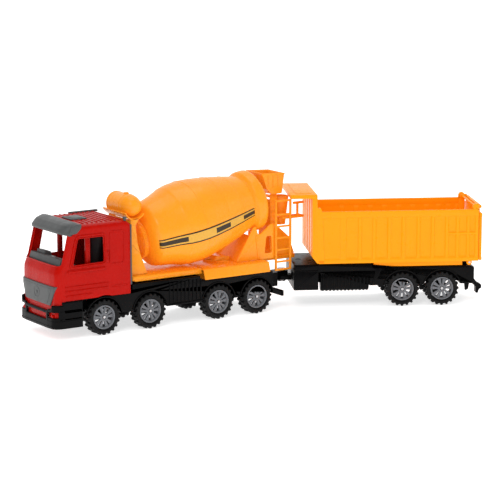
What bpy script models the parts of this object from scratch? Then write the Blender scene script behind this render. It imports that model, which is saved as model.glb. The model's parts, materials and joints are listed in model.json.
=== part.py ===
"""Toy concrete mixer truck with a tipping trailer, in separate moulded pieces.

Blender 4.5 script. Sizes are in millimetres and become metres as each mesh is made.
The truck drives towards -X. The hitch pin is the local origin of both vehicles: the
truck's shapes are given in its own straight frame, and the trailer's in a frame that
is turned about the pin, as the toy stands. ORIGIN moves both so that the whole toy
stands centred on the world origin.
"""
import math

import bmesh
import bpy
from mathutils import Matrix, Vector

MM = 0.001
GAP = 0.3                       # clearance between pieces that touch

# Driving dimensions
ORIGIN = (60.39, 57.67)
HITCH_YAW = -27.3               # trailer heading at rest, degrees about +Z
TYRE_R = 24.0
RIM_R = 16.2
TRACK_OUT = 47.0                # outer face of the tyres, from the centreline
TYRE_W = 16.5
AXLE_R = 1.8
AXLE_HALF = 46.2
ARCH_R = 26.5
TRUCK_AXLES = (-312.0, -241.5, -134.0, -71.5)
TRAILER_AXLES = (164.5, 220.5)
CAB_FRONT, CAB_REAR = -385.0, -273.0
CAB_FLOOR, CAB_ROOF = 52.0, 150.5
CAB_HALF = 48.0
CAB_WALL = 2.2
DECK_TOP = 71.0
DRUM_FOOT = (-221.0, 117.6)     # drum axis at station 0, truck XZ
DRUM_TILT = 11.05               # degrees, the rear end up
DRUM_MOUTH = 178.0              # station of the open rear end
TRAILER_TOP = 61.0
TIPPER_X = (41.0, 270.0)
TIPPER_HALF = 54.0
TIPPER_FLOOR, TIPPER_RAIL = 63.5, 136.5
GUARD_Z = (155.0, 160.5)        # cab guard over the front wall
TILT_AXIS = (258.0, 61.0)       # trailer XZ
GATE_AXIS = (266.0, 139.5)      # trailer XZ

for stale in list(bpy.data.objects):
    bpy.data.objects.remove(stale)
parts = bpy.data.collections.new("toy_cement_mixer")
cutters = bpy.data.collections.new("cutters")
for group in (parts, cutters):
    bpy.context.scene.collection.children.link(group)


def material(name, colour, roughness, metallic=0.0):
    """A Principled material of one moulded colour."""
    made = bpy.data.materials.new(name)
    made.use_nodes = True
    shader = made.node_tree.nodes["Principled BSDF"]
    shader.inputs["Base Color"].default_value = (*colour, 1.0)
    shader.inputs["Roughness"].default_value = roughness
    shader.inputs["Metallic"].default_value = metallic
    return made


RED = material("red_plastic", (0.62, 0.018, 0.008), 0.3)
ORANGE = material("orange_plastic", (0.95, 0.32, 0.02), 0.35)
AMBER = material("amber_plastic", (0.95, 0.38, 0.01), 0.35)
BLACK = material("black_plastic", (0.012, 0.012, 0.014), 0.4)
GREY = material("grey_plastic", (0.12, 0.12, 0.125), 0.4)
DARK = material("dark_grey_plastic", (0.03, 0.032, 0.035), 0.45)
RIM = material("silver_grey_plastic", (0.3, 0.31, 0.33), 0.35)
RUBBER = material("tyre_rubber", (0.012, 0.012, 0.012), 0.6)
STEEL = material("steel", (0.6, 0.6, 0.6), 0.3, 1.0)


def axis_empty(name, location, parent=None, turn=(0.0, 0.0, 0.0)):
    """An empty on a joint axis (millimetres, degrees), in its parent's frame."""
    empty = bpy.data.objects.new(name, None)
    parts.objects.link(empty)
    empty.parent = parent
    empty.location = Vector(location) * MM
    empty.rotation_euler = [math.radians(a) for a in turn]
    return empty


TRUCK = axis_empty("truck_frame", (*ORIGIN, 0.0))
HITCH = axis_empty("hitch_axis", (0.0, 0.0, 0.0), TRUCK, (0.0, 0.0, HITCH_YAW))
DRUM = axis_empty("drum_axis", (DRUM_FOOT[0], 0.0, DRUM_FOOT[1]), TRUCK,
                  (0.0, 90.0 - DRUM_TILT, 0.0))
TIPPER = axis_empty("tipper_axis", (TILT_AXIS[0], 0.0, TILT_AXIS[1]), HITCH)
GATE = axis_empty("tailgate_axis", (GATE_AXIS[0] - TILT_AXIS[0], 0.0,
                                    GATE_AXIS[1] - TILT_AXIS[1]), TIPPER)


def place(obj, parent, finish=None, offset=(0.0, 0.0, 0.0)):
    """Put a mesh object in its vehicle: a part with a finish, or else a cutter.

    offset is the parent axis in the frame that the mesh was drawn in.
    """
    (parts if finish else cutters).objects.link(obj)
    obj.data.transform(Matrix.Translation(Vector(offset) * -MM))
    obj.parent = parent
    if finish:
        obj.data.materials.append(finish)
    else:
        obj.hide_render = True
        obj.display_type = "WIRE"
    return obj


def as_mesh(name, curve):
    """A closed mesh object from a curve, with its caps welded."""
    holder = bpy.data.objects.new(name + "_curve", curve)
    bpy.context.scene.collection.objects.link(holder)
    graph = bpy.context.evaluated_depsgraph_get()
    mesh = bpy.data.meshes.new_from_object(holder.evaluated_get(graph))
    bm = bmesh.new()
    bm.from_mesh(mesh)
    bmesh.ops.remove_doubles(bm, verts=bm.verts, dist=0.00002)
    bmesh.ops.recalc_face_normals(bm, faces=bm.faces)
    bm.to_mesh(mesh)
    bm.free()
    bpy.data.objects.remove(holder)
    bpy.data.curves.remove(curve)
    mesh.name = name
    return bpy.data.objects.new(name, mesh)


AXES = {"y": Matrix.Rotation(math.radians(90.0), 4, "X"),
        "x": Matrix(((0, 0, 1, 0), (1, 0, 0, 0), (0, 1, 0, 0), (0, 0, 0, 1))),
        "z": Matrix.Identity(4)}


def prism(name, outline, low, high, along="y", holes=()):
    """A flat outline pushed from low to high along an axis.

    The outline is (x, z) along y, (y, z) along x, and (x, y) along z.
    """
    curve = bpy.data.curves.new(name, "CURVE")
    curve.dimensions = "2D"
    curve.fill_mode = "BOTH"
    curve.extrude = (high - low) * 0.5 * MM
    for loop in (outline, *holes):
        spline = curve.splines.new("POLY")
        spline.points.add(len(loop) - 1)
        for point, (a, b) in zip(spline.points, loop):
            point.co = (a * MM, b * MM, 0.0, 1.0)
        spline.use_cyclic_u = True
    made = as_mesh(name, curve)
    made.data.transform(AXES[along])
    shift = {"x": (1, 0, 0), "y": (0, 1, 0), "z": (0, 0, 1)}[along]
    made.data.transform(Matrix.Translation(Vector(shift) * (low + high) * 0.5 * MM))
    return made


def box(name, x, y, z):
    """A box between three ranges."""
    bm = bmesh.new()
    bmesh.ops.create_cube(bm, size=1.0)
    size = Vector((x[1] - x[0], y[1] - y[0], z[1] - z[0])) * MM
    centre = Vector((x[0] + x[1], y[0] + y[1], z[0] + z[1])) * 0.5 * MM
    bmesh.ops.scale(bm, vec=size, verts=bm.verts)
    bmesh.ops.translate(bm, vec=centre, verts=bm.verts)
    mesh = bpy.data.meshes.new(name)
    bm.to_mesh(mesh)
    bm.free()
    return bpy.data.objects.new(name, mesh)


def rod(name, radius, low, high, at, along="y", sides=16, top_radius=None):
    """A round bar or cone from low to high along an axis, centred at the other two."""
    bm = bmesh.new()
    bmesh.ops.create_cone(bm, cap_ends=True, segments=sides, radius1=radius * MM,
                          radius2=(top_radius or radius) * MM, depth=(high - low) * MM)
    middle = (low + high) * 0.5
    turn = {"x": Matrix.Rotation(math.radians(90.0), 4, "Y"),
            "y": Matrix.Rotation(math.radians(-90.0), 4, "X"),
            "z": Matrix.Identity(4)}[along]
    spot = {"x": (middle, *at), "y": (at[0], middle, at[1]), "z": (*at, middle)}[along]
    bmesh.ops.transform(bm, matrix=Matrix.Translation(Vector(spot) * MM) @ turn,
                        verts=bm.verts)
    mesh = bpy.data.meshes.new(name)
    bm.to_mesh(mesh)
    bm.free()
    return bpy.data.objects.new(name, mesh)


def turned(name, profile, sides, parent, finish):
    """A turned part: (radius, height) pairs swept about its parent's Z axis."""
    mesh = bpy.data.meshes.new(name)
    points = [(r * MM, 0.0, h * MM) for r, h in profile]
    edges = [(i, i + 1) for i in range(len(points) - 1)]
    if profile[0][0] > 0.0:
        edges.append((len(points) - 1, 0))
    mesh.from_pydata(points, edges, [])
    made = place(bpy.data.objects.new(name, mesh), parent, finish)
    screw = made.modifiers.new("turn", "SCREW")
    screw.steps = sides
    screw.render_steps = sides
    screw.use_merge_vertices = True
    screw.merge_threshold = 0.00002
    return made


def combine(target, pieces, operation, parent=None, offset=(0.0, 0.0, 0.0)):
    """Boolean modifiers on target, one for each cutter in turn."""
    for index, piece in enumerate(pieces):
        place(piece, parent or target.parent, None, offset)
        modifier = target.modifiers.new(f"{operation.lower()}_{index}", "BOOLEAN")
        modifier.operation = operation
        modifier.solver = "EXACT"
        modifier.object = piece
    return target


def arc(centre, radius, start, end, steps):
    """Points on an arc, angles in degrees."""
    angles = [math.radians(start + (end - start) * i / steps) for i in range(steps + 1)]
    return [(centre[0] + radius * math.cos(a), centre[1] + radius * math.sin(a))
            for a in angles]


def across(half):
    """A half plan that starts on the centreline, with its mirror image, right to left."""
    return [(x, -y) for x, y in reversed(half[1:])] + half


def band(outer, inner):
    """The outline between two half plans."""
    return across(outer) + list(reversed(across(inner)))


# Wheels: one steel axle with a dished rim and a rubber tyre at each end
def wheels(axle_x, number, vehicle):
    """One axle set on its own spin axis."""
    spin = axis_empty(f"axle_{number}_axis", (axle_x, 0.0, TYRE_R), vehicle)
    bar = rod(f"axle_{number}", AXLE_R, -AXLE_HALF, AXLE_HALF, (0.0, 0.0), sides=12)
    place(bar, spin, STEEL)
    inner = TRACK_OUT - TYRE_W
    hub = AXLE_R + GAP
    rim = [(RIM_R, TRACK_OUT - 1.0), (RIM_R, inner + 1.5), (hub, inner + 1.5),
           (hub, TRACK_OUT - 1.5), (6.0, TRACK_OUT - 1.5), (13.8, TRACK_OUT - 4.0)]
    seat = RIM_R + GAP
    tyre = [(22.6, TRACK_OUT), (TYRE_R, TRACK_OUT - 2.0), (TYRE_R, inner + 2.0),
            (22.6, inner), (seat, inner + 0.8), (seat, TRACK_OUT - 0.8)]
    for side, turn in (("right", 90.0), ("left", -90.0)):
        end = axis_empty(f"axle_{number}_{side}", (0.0, 0.0, 0.0), spin,
                         (turn, 0.0, 0.0))
        turned(f"rim_{number}_{side}", rim, 24, end, RIM)
        turned(f"tyre_{number}_{side}", tyre, 24, end, RUBBER)


for count, place_x in enumerate(TRUCK_AXLES, 1):
    wheels(place_x, count, TRUCK)
for count, place_x in enumerate(TRAILER_AXLES, len(TRUCK_AXLES) + 1):
    wheels(place_x, count, HITCH)


def bores(name, axles, half):
    """Clearance bores for the axles, across the vehicle."""
    return [rod(f"{name}_bore_{i}", AXLE_R + 0.5, -half, half, (x, TYRE_R), sides=16)
            for i, x in enumerate(axles)]


# Truck underbody: spine with axle hangers and the hitch tongue
spine = place(box("truck_chassis", (-366.0, -24.0), (-26.0, 26.0), (30.0, 49.2)), TRUCK,
              BLACK)
hangers = [box(f"hanger_{i}", (x - 8.0, x + 8.0), (-26.0, 26.0), (17.0, 31.0))
           for i, x in enumerate(TRUCK_AXLES)]
tongue = prism("tongue", [(-26.0, -9.0), *arc((0.0, 0.0), 9.0, -90.0, 90.0, 12),
                          (-26.0, 9.0)], 40.0, 46.0, "z")
combine(spine, [*hangers, tongue], "UNION")
combine(spine, [*bores("truck", TRUCK_AXLES, 40.0),
                rod("tongue_hole", 3.6, 30.0, 60.0, (0.0, 0.0), "z", 20)], "DIFFERENCE")


def arched(name, left, right, low, top, axles, half, tunnel):
    """A block across the vehicle with a wheel arch at each axle and an inner tunnel."""
    block = box(name, (left, right), (-half, half), (low, top))
    arches = [rod(f"{name}_arch_{i}", ARCH_R, -60.0, 60.0, (x, TYRE_R), sides=32)
              for i, x in enumerate(axles)]
    return block, [*arches, box(f"{name}_tunnel", (left - 5.0, right + 5.0),
                                (-tunnel, tunnel), (low - 5.0, 49.5))]


fenders, fender_cuts = arched("truck_fenders", -345.0, -45.0, 27.0, 63.0, TRUCK_AXLES,
                              45.5, 29.0)
place(fenders, TRUCK, BLACK)
combine(fenders, [*fender_cuts,
                  box("under_cab", (-350.0, -268.5), (-50.0, 50.0), (51.7, 70.0)),
                  box("under_deck", (-163.0, -40.0), (-50.0, 50.0), (56.6, 70.0)),
                  box("bumper_room", (-350.0, -335.0), (-50.0, 50.0), (20.0, 49.5))],
        "DIFFERENCE")

underrun = place(box("rear_underrun", (-27.0, -23.5), (-41.0, 41.0), (18.5, 26.5)), TRUCK,
                 BLACK)
arms = [prism(f"underrun_arm_{i}", [(-44.6, 32.0), (-41.0, 32.0), (-25.0, 24.0),
                                    (-25.0, 20.0), (-44.6, 25.0)], y, y + 3.0)
        for i, y in enumerate((-40.0, 37.0))]
brace = box("underrun_brace", (-27.0, -24.0), (-8.0, 8.0), (20.0, 29.7))
combine(underrun, [*arms, brace], "UNION")


# Cab: one red shell with open windows, in a plan that bows at the front
def cab_plan(grow, rear, front_only=False):
    """Half of the bowed plan of the cab front, grown outwards by grow."""
    bow = [(CAB_FRONT - grow, 0.0), (CAB_FRONT + 0.4 - grow, 30.0),
           (CAB_FRONT + 2.0 - grow * 0.9, 43.0 + grow * 0.4)]
    if front_only:
        return bow
    return bow + [(CAB_FRONT + 6.0 - grow * 0.6, 46.8 + grow * 0.8),
                  (CAB_FRONT + 14.0, CAB_HALF + grow), (rear, CAB_HALF + grow)]


SIDE = [(-384.9, 38.0), (-371.0, 38.0), (-367.0, CAB_FLOOR), (CAB_REAR, CAB_FLOOR),
        (CAB_REAR, 146.0), (-277.0, 149.4), (-345.0, CAB_ROOF), (-362.0, 148.0),
        (-369.5, 139.0), (-379.5, 101.0), (-384.9, 88.0)]
LINING = [(-381.5, 30.0), (CAB_REAR + 5.0, 30.0), (CAB_REAR + 5.0, 146.6),
          (-345.0, 148.2), (-360.5, 146.0), (-367.0, 138.0), (-377.0, 101.0),
          (-382.0, 88.0)]
cab = place(prism("cab_shell", SIDE, -CAB_HALF, CAB_HALF), TRUCK, RED)
combine(cab, [prism("cab_plan", across(cab_plan(0.0, CAB_REAR + 2.0)), 20.0, 160.0, "z")],
        "INTERSECT")
inside = prism("cab_lining", LINING, CAB_WALL - CAB_HALF, CAB_HALF - CAB_WALL)
combine(inside, [prism("lining_plan", across(cab_plan(-CAB_WALL, CAB_REAR + 9.0)), 20.0,
                       160.0, "z")], "INTERSECT", TRUCK)
combine(cab, [inside,
              prism("windscreen", [(-43.0, 99.5), (43.0, 99.5), (41.0, 137.5),
                                   (-41.0, 137.5)], -400.0, -355.0, "x"),
              prism("door_window", [(-356.0, 98.0), (-312.0, 98.0), (-313.5, 128.0),
                                    (-317.0, 130.5), (-347.0, 130.5), (-350.5, 128.0)],
                    -60.0, 60.0),
              rod("cab_arch", 30.0, -60.0, 60.0, (TRUCK_AXLES[0], TYRE_R), sides=40)],
        "DIFFERENCE")

back = place(box("cab_back_panel", (-272.6, -270.0), (-45.0, 45.0), (63.5, 144.0)), TRUCK,
             DARK)

visor = place(prism("roof_visor", [(-373.6, 137.4), (-372.8, 142.0), (-365.0, 151.0),
                                   (-348.5, 153.4), (-346.0, 151.4), (-346.6, 150.9),
                                   (-362.5, 148.6), (-370.6, 138.4)],
                    -49.0, 49.0), TRUCK, GREY)
visor_plan = [(-378.0, 0.0), (-376.0, 30.0), (-371.0, 41.0), (-362.0, 46.5),
              (-340.0, 47.0)]
combine(visor, [prism("visor_plan", across(visor_plan), 130.0, 160.0, "z")], "INTERSECT")

place(box("roof_hatch", (-338.0, -316.0), (-14.0, 14.0), (150.8, 152.4)), TRUCK, GREY)
rail = place(rod("roof_rail", 2.4, -312.0, -276.0, (40.0, 152.4), "x", 12), TRUCK, GREY)
combine(rail, [box("rail_foot", (-316.0, -270.0), (30.0, 50.0), (140.0, 150.6))],
        "DIFFERENCE")
place(rod("roof_knob", 2.6, 150.0, 154.5, (-278.5, -43.5), "z", 14), TRUCK, GREY)

grille = place(prism("grille", band(cab_plan(2.6, 0.0, True), cab_plan(0.4, 0.0, True)),
                     45.5, 71.8, "z"), TRUCK, GREY)
combine(grille, [prism("grille_shape", [(-45.5, 72.0), (-33.0, 45.0), (33.0, 45.0),
                                        (45.5, 72.0)], -395.0, -375.0, "x")], "INTERSECT")
combine(grille, [rod("grille_boss", 5.6, -388.9, -386.0, (0.0, 61.0), "x", 20)], "UNION")

BUMPER_HALF = [(-389.0, 0.0), (-388.5, 30.0), (-387.0, 44.5), (-381.5, 49.0),
               (-371.0, 49.9), (-345.5, 49.9)]
BUMPER_INNER = [(-385.5, 0.0), (-385.1, 30.0), (-383.9, 43.6), (-378.7, 47.5),
                (-370.5, 48.4), (-345.5, 48.4)]
bumper = place(prism("front_bumper", band(BUMPER_HALF, BUMPER_INNER), 16.0, 51.4, "z"),
               TRUCK, BLACK)
notch = [(-45.0, 60.0), (-45.0, 47.5), (-41.0, 47.5), (-36.0, 36.5), (36.0, 36.5),
         (41.0, 47.5), (45.0, 47.5), (45.0, 60.0)]
lamps = [box(f"lamp_window_{i}", (-395.0, -376.0), (a, b), (24.5, 32.5))
         for i, (a, b) in enumerate(((-46.0, -31.0), (-27.0, 27.0), (31.0, 46.0)))]
combine(bumper, [prism("bumper_notch", notch, -395.0, -372.0, "x"), *lamps,
                 prism("bumper_slope", [(-395.0, 47.5), (-377.0, 47.5), (-371.0, 60.0),
                                        (-395.0, 60.0)], -60.0, 60.0)], "DIFFERENCE")
LAMP_HALF = [(-385.1, 0.0), (-384.6, 30.0), (-383.2, 42.6), (-379.0, 45.5)]
place(prism("bumper_lamps", across(LAMP_HALF), 18.5, 35.5, "z"), TRUCK, RED)

# Cab fittings
dash = place(prism("dashboard", [(-376.0, 84.0), (-350.0, 84.0), (-350.0, 96.0),
                                 (-358.0, 103.0), (-373.6, 106.5), (-376.6, 98.0)],
                   -42.0, 42.0), TRUCK, GREY)
combine(dash, [prism("dial_pod", [(-368.0, 100.0), (-356.0, 100.0), (-358.0, 108.0),
                                  (-368.0, 110.0)], 12.0, 34.0)], "UNION")
seats = place(box("cab_seats", (-322.0, -285.0), (-40.0, 40.0), (52.2, 76.0)), TRUCK, DARK)
backs = [prism(f"seat_back_{i}", [(-296.0, 70.0), (-285.0, 70.0), (-279.0, 122.0),
                                  (-286.0, 122.0)], y, y + 32.0)
         for i, y in enumerate((-39.0, 7.0))]
combine(seats, backs, "UNION")

# Mixer deck: narrow behind the cab, a flared skirt over the rear axles, a tail plate
deck = place(box("mixer_deck", (-265.0, -150.0), (-40.0, 40.0), (63.5, DECK_TOP)), TRUCK,
             ORANGE)
flare = [(-45.6, DECK_TOP), (-50.0, 57.0), (50.0, 57.0), (45.6, DECK_TOP)]
skirt = prism("deck_skirt", flare, -158.0, -51.0, "x")
tail = box("deck_tail", (-55.0, 12.0), (-16.0, 16.0), (65.0, DECK_TOP))
turntable = prism("deck_ring", arc((-100.0, 0.0), 26.0, 99.0, 261.0, 24), DECK_TOP - 1.0,
                  DECK_TOP + 3.5, "z")
wedge = prism("deck_wedge", [(-122.0, 73.0), (-118.0, 80.5), (-96.0, 78.0), (-96.0, 73.0)],
              -15.0, 15.0)
combine(deck, [skirt, tail, turntable, wedge], "UNION")
hollow = box("deck_hollow", (-163.5, -52.5), (-46.0, 46.0), (50.0, 63.5))
combine(deck, [hollow], "DIFFERENCE")


# Drum: hollow shell, turned, with a stub shaft at the front and an open rear mouth
OUTER = [(30.0, DRUM_MOUTH), (38.0, 176.5), (43.0, 172.0), (43.0, 159.0), (38.8, 155.0),
         (44.8, 131.0), (51.3, 105.0), (55.4, 82.0), (57.0, 66.0), (56.4, 50.0),
         (53.6, 38.0), (49.0, 24.0), (43.6, 0.0), (36.0, -6.0), (24.0, -10.0),
         (14.0, -10.5), (14.0, -18.5), (4.0, -18.5), (4.0, -31.0), (0.0, -31.0)]
INNER = [(0.0, -7.0), (30.0, -6.0), (41.0, 2.0), (51.0, 39.0), (54.4, 60.0),
         (53.0, 80.0), (42.3, 130.0), (36.0, 155.0), (30.0, 168.0)]
turned("drum_shell", INNER + OUTER, 36, DRUM, ORANGE)


def gear_outline(teeth, root, tip):
    """A toothed wheel outline: four points a tooth."""
    points = []
    for tooth in range(teeth):
        for share, radius in ((0.0, root), (0.25, tip), (0.5, tip), (0.75, root)):
            angle = 2.0 * math.pi * (tooth + share) / teeth
            points.append((radius * math.cos(angle), radius * math.sin(angle)))
    return points


gear = prism("drum_ring_gear", gear_outline(40, 26.4, 28.0), -17.6, -11.4, "z",
             [arc((0.0, 0.0), 14.0 + GAP, 0.0, 345.0, 23)])
place(gear, DRUM, ORANGE)


# Drum front support: two cheeks, a cross wall with the bearing, and the tank saddle
CHEEK = [(-261.0, DECK_TOP + GAP), (-236.0, DECK_TOP + GAP), (-247.0, 100.0),
         (-251.0, 115.0), (-254.0, 139.0), (-240.0, 151.0), (-241.0, 156.0),
         (-261.0, 147.0)]
front = place(prism("drum_front_support", CHEEK, -30.0, -27.5), TRUCK, ORANGE)
combine(front, [prism("far_cheek", CHEEK, 27.5, 30.0),
                box("bearing_wall", (-261.0, -257.0), (-29.0, 29.0),
                    (DECK_TOP + GAP, 146.0)),
                box("bearing_block", (-258.0, -244.5), (-12.0, 12.0), (96.0, 126.0))],
        "UNION")
tank_centre = (-254.0, 165.5)
combine(front, [rod("saddle_seat", 17.4, -40.0, 40.0, tank_centre, sides=36)], "DIFFERENCE")
combine(front, [rod("shaft_hole", 4.5, -60.0, -10.0, (0.0, 0.0), "z", 20)],
        "DIFFERENCE", DRUM)

tank_profile = [(0.0, 33.0)] + [(17.0 * math.cos(math.radians(a)),
                                 17.0 + 16.0 * math.sin(math.radians(a)))
                                for a in (70, 50, 30, 10)]
tank_profile += [(17.0, -18.0), (14.0, -27.0), (7.0, -31.0), (0.0, -32.0)]
TANK = axis_empty("tank_axis", (tank_centre[0], 0.0, tank_centre[1]), TRUCK,
                  (-90.0, 0.0, 0.0))
turned("water_tank", tank_profile, 28, TANK, ORANGE)

# Drum rear support: cheeks with a V cradle and a sloping front ramp between them
REAR = [(-95.0, DECK_TOP + GAP), (-30.0, DECK_TOP + GAP), (-32.5, 119.5),
        (-38.0, 119.5), (-56.0, 106.5), (-59.5, 108.0), (-62.5, 118.5),
        (-66.0, 118.5)]
WINDOW = [(-48.5, 79.0), (-36.0, 79.0), (-37.0, 103.0), (-45.5, 103.0)]
rear = place(prism("drum_rear_support", REAR, -30.0, -27.5, "y", [WINDOW]), TRUCK, ORANGE)
combine(rear, [prism("far_rear_cheek", REAR, 27.5, 30.0, "y", [WINDOW]),
               prism("ramp", [(-92.0, DECK_TOP + GAP), (-87.5, DECK_TOP + GAP),
                              (-63.5, 103.5), (-66.5, 105.0)], -29.0, 29.0),
               box("rear_tie", (-44.0, -33.0), (-29.0, 29.0), (DECK_TOP + GAP, 76.0))],
        "UNION")

# Discharge frame, hopper, collector funnel, ladder and platform
FIN = [(-29.0, DECK_TOP + GAP), (11.5, DECK_TOP + GAP), (6.0, 86.0), (1.0, 97.0),
       (-18.0, 113.5), (-18.0, 158.0), (-29.0, 158.0)]
frame = place(prism("discharge_frame", FIN, -15.0, -12.5), TRUCK, ORANGE)
combine(frame, [prism("far_fin", FIN, 12.5, 15.0),
                prism("fin_tie", [(-29.0, DECK_TOP + GAP), (9.0, DECK_TOP + GAP),
                                  (6.0, 76.0), (-29.0, 76.0)], -14.0, 14.0),
                box("post_tie", (-29.0, -26.0), (-14.0, 14.0), (98.0, 104.0))],
        "UNION")

hopper_out = [(-46.0, 188.0), (-9.0, 186.0), (-13.0, 158.3 + GAP), (-30.0, 158.3 + GAP),
              (-38.0, 166.0)]
hopper = place(prism("hopper", hopper_out, -20.0, 20.0), TRUCK, ORANGE)
hopper_in = [(-43.5, 195.0), (-11.5, 195.0), (-11.5, 186.0), (-15.2, 161.0),
             (-29.4, 161.0), (-35.8, 167.2), (-43.5, 186.5)]
combine(hopper, [prism("hopper_inside", hopper_in, -18.0, 18.0),
                 box("hopper_outlet", (-28.5, -16.5), (-8.0, 8.0), (150.0, 170.0))],
        "DIFFERENCE")

FUNNEL = axis_empty("funnel_axis", (-3.0, 0.0, 0.0), TRUCK)
turned("collector_funnel", [(12.0, 150.0), (12.2, 152.0), (8.0, 112.0), (6.0, 112.0)],
       24, FUNNEL, ORANGE)

LADDER_Y = (-33.4, -30.4)
STILES = ((-32.5, -29.5), (-8.5, -5.5))
ladder = place(box("ladder", STILES[0], LADDER_Y, (53.0, 152.0)), TRUCK, ORANGE)
rungs = [box(f"rung_{i}", (-31.0, -7.0), (-32.9, -30.9), (z, z + 2.6))
         for i, z in enumerate((53.0, 64.0, 81.0, 97.5, 113.5, 130.0, 149.4))]
combine(ladder, [box("far_stile", STILES[1], LADDER_Y, (53.0, 152.0)), *rungs],
        "UNION")

platform = place(box("platform", (-17.0, 19.0), (-28.2, -15.3), (123.5, 127.5)), TRUCK,
                 ORANGE)
combine(platform, [box("guard_post", (7.0, 10.0), (-28.0, -25.0), (126.0, 145.0)),
                   box("guard_rail", (1.0, 19.0), (-28.0, -25.0), (143.0, 146.5))],
        "UNION")

# Trailer chassis: front box, spine, arched sides, drawbar
HOOK = [(262.0, 40.0), (262.0, 30.0), (277.0, 17.0), (277.0, 8.0), (285.0, 8.0),
        (285.0, 20.0), (279.0, 23.0), (270.0, 34.0), (270.0, 40.0)]
body = place(box("trailer_chassis", (12.0, 46.5), (-46.0, 46.0), (25.0, TRAILER_TOP)), HITCH,
             BLACK)
SPINE = [(45.0, 30.0), (262.0, 30.0), (266.0, 38.0), (266.0, 54.5), (258.3, 63.2),
         (60.0, 63.2), (58.0, TRAILER_TOP), (45.0, TRAILER_TOP)]
sides = prism("trailer_sides", [(118.0, 30.0), (266.0, 30.0), (266.0, 53.5),
                                (259.0, 60.8), (45.0, 60.8), (45.0, 50.0),
                                (118.0, 50.0)], -46.0, 46.0)
drawbar = prism("drawbar", [(14.0, 9.0), *arc((0.0, 0.0), 9.0, 90.0, 270.0, 12),
                            (14.0, -9.0)], 33.0, 39.6, "z")
trailer_hangers = [box(f"trailer_hanger_{i}", (x - 8.0, x + 8.0), (-26.0, 26.0), (17.0, 31.0))
                   for i, x in enumerate(TRAILER_AXLES)]
trailer_arches = [rod(f"trailer_arch_{i}_{s}", ARCH_R, a, b, (x, TYRE_R), sides=32)
                  for i, x in enumerate(TRAILER_AXLES)
                  for s, a, b in (("right", -60.0, -28.0), ("left", 28.0, 60.0))]
side_tunnel = box("side_tunnel", (110.0, 270.0), (-28.0, 28.0), (20.0, 61.5))
combine(body, [sides], "UNION")
combine(body, [side_tunnel, *trailer_arches], "DIFFERENCE")
combine(body, [prism("trailer_spine", SPINE, -26.0, 26.0),
               box("cross_web", (134.0, 136.0), (-30.0, 30.0), (40.0, 55.0)),
               box("rear_web", (251.0, 255.0), (-30.0, 30.0), (40.0, 55.0)),
               prism("tow_hook", HOOK, -7.0, 7.0), drawbar, *trailer_hangers,
               *[box(f"side_tank_{i}", (49.5, 117.5), (y, y + 17.0), (22.0, 51.0))
                 for i, y in enumerate((-46.0, 29.0))]], "UNION")
combine(body, [*bores("trailer", TRAILER_AXLES, 40.0),
               rod("drawbar_hole", 3.3, 20.0, 44.0, (0.0, 0.0), "z", 20),
               rod("spare_hole", 2.6, 40.0, 70.0, (23.5, 0.0), "z", 16),
               rod("tilt_bore", 1.9, -60.0, 60.0, TILT_AXIS, sides=16)], "DIFFERENCE")

pin = place(rod("hitch_pin", 3.0, 30.6, 48.6, (0.0, 0.0), "z", 20), HITCH, STEEL)
combine(pin, [rod("pin_head", 6.0, 46.4, 48.6, (0.0, 0.0), "z", 20),
              rod("pin_foot", 6.0, 30.6, 32.7, (0.0, 0.0), "z", 20)], "UNION")
place(rod("tilt_rod", 1.5, -50.4, 50.4, TILT_AXIS, sides=12), HITCH, STEEL)

# Tipper body: floor, side walls with a rail, front wall with the cab guard
OFF = (TILT_AXIS[0], 0.0, TILT_AXIS[1])
OUTSIDE = [(TIPPER_X[0] + 5.0, TIPPER_FLOOR), (TIPPER_X[1], TIPPER_FLOOR),
           (TIPPER_X[1], TIPPER_RAIL), (TIPPER_X[0] + 9.0, TIPPER_RAIL),
           (TIPPER_X[0] + 7.0, 142.0), (TIPPER_X[0] + 2.5, 142.0),
           (TIPPER_X[0] + 2.5, GUARD_Z[1]), (6.0, GUARD_Z[1]), (6.0, GUARD_Z[0]),
           (TIPPER_X[0] - 2.0, GUARD_Z[0]), (TIPPER_X[0] - 2.0, 74.0)]
tipper = place(prism("tipper_body", OUTSIDE, -TIPPER_HALF, TIPPER_HALF), TIPPER, AMBER, OFF)
HOLD = [(TIPPER_X[0] + 7.0, TIPPER_FLOOR + 2.5), (TIPPER_X[1] + 9.0, TIPPER_FLOOR + 2.5),
        (TIPPER_X[1] + 9.0, 170.0), (TIPPER_X[0] + 0.5, 170.0), (TIPPER_X[0] + 0.5, 76.0)]
guard_hollow = [(8.5, 140.0), (TIPPER_X[0] - 2.5, 140.0), (TIPPER_X[0] - 2.5, 158.0),
                (8.5, 158.0)]
INSET = [(TIPPER_X[0] + 11.0, 68.0), (TIPPER_X[1] - 5.0, 68.0),
         (TIPPER_X[1] - 5.0, 127.0), (TIPPER_X[0] + 11.0, 127.0)]
insets = [prism(f"side_inset_{s}", INSET, a, b)
          for s, a, b in (("right", -60.0, 1.2 - TIPPER_HALF), ("left", TIPPER_HALF - 1.2, 60.0))]
combine(tipper, [prism("hold", HOLD, 3.0 - TIPPER_HALF, TIPPER_HALF - 3.0),
                 prism("guard_hollow", guard_hollow, 2.5 - TIPPER_HALF, TIPPER_HALF - 2.5),
                 *insets],
        "DIFFERENCE", None, OFF)
posts = [box(f"gate_post_{s}", (261.0, 270.0), (a, b), (TIPPER_RAIL - 1.0, 144.0))
         for s, a, b in (("right", -TIPPER_HALF, -46.0), ("left", 46.0, TIPPER_HALF))]
lugs = [rod(f"tilt_lug_{s}", 3.8, a, b, TILT_AXIS, sides=20)
        for s, a, b in (("right", -49.6, -46.6), ("left", 46.6, 49.6))]
lug_webs = [box(f"lug_web_{s}", (254.5, 261.5), (a, b), (61.0, 65.0))
            for s, a, b in (("right", -49.6, -46.6), ("left", 46.6, 49.6))]
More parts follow.
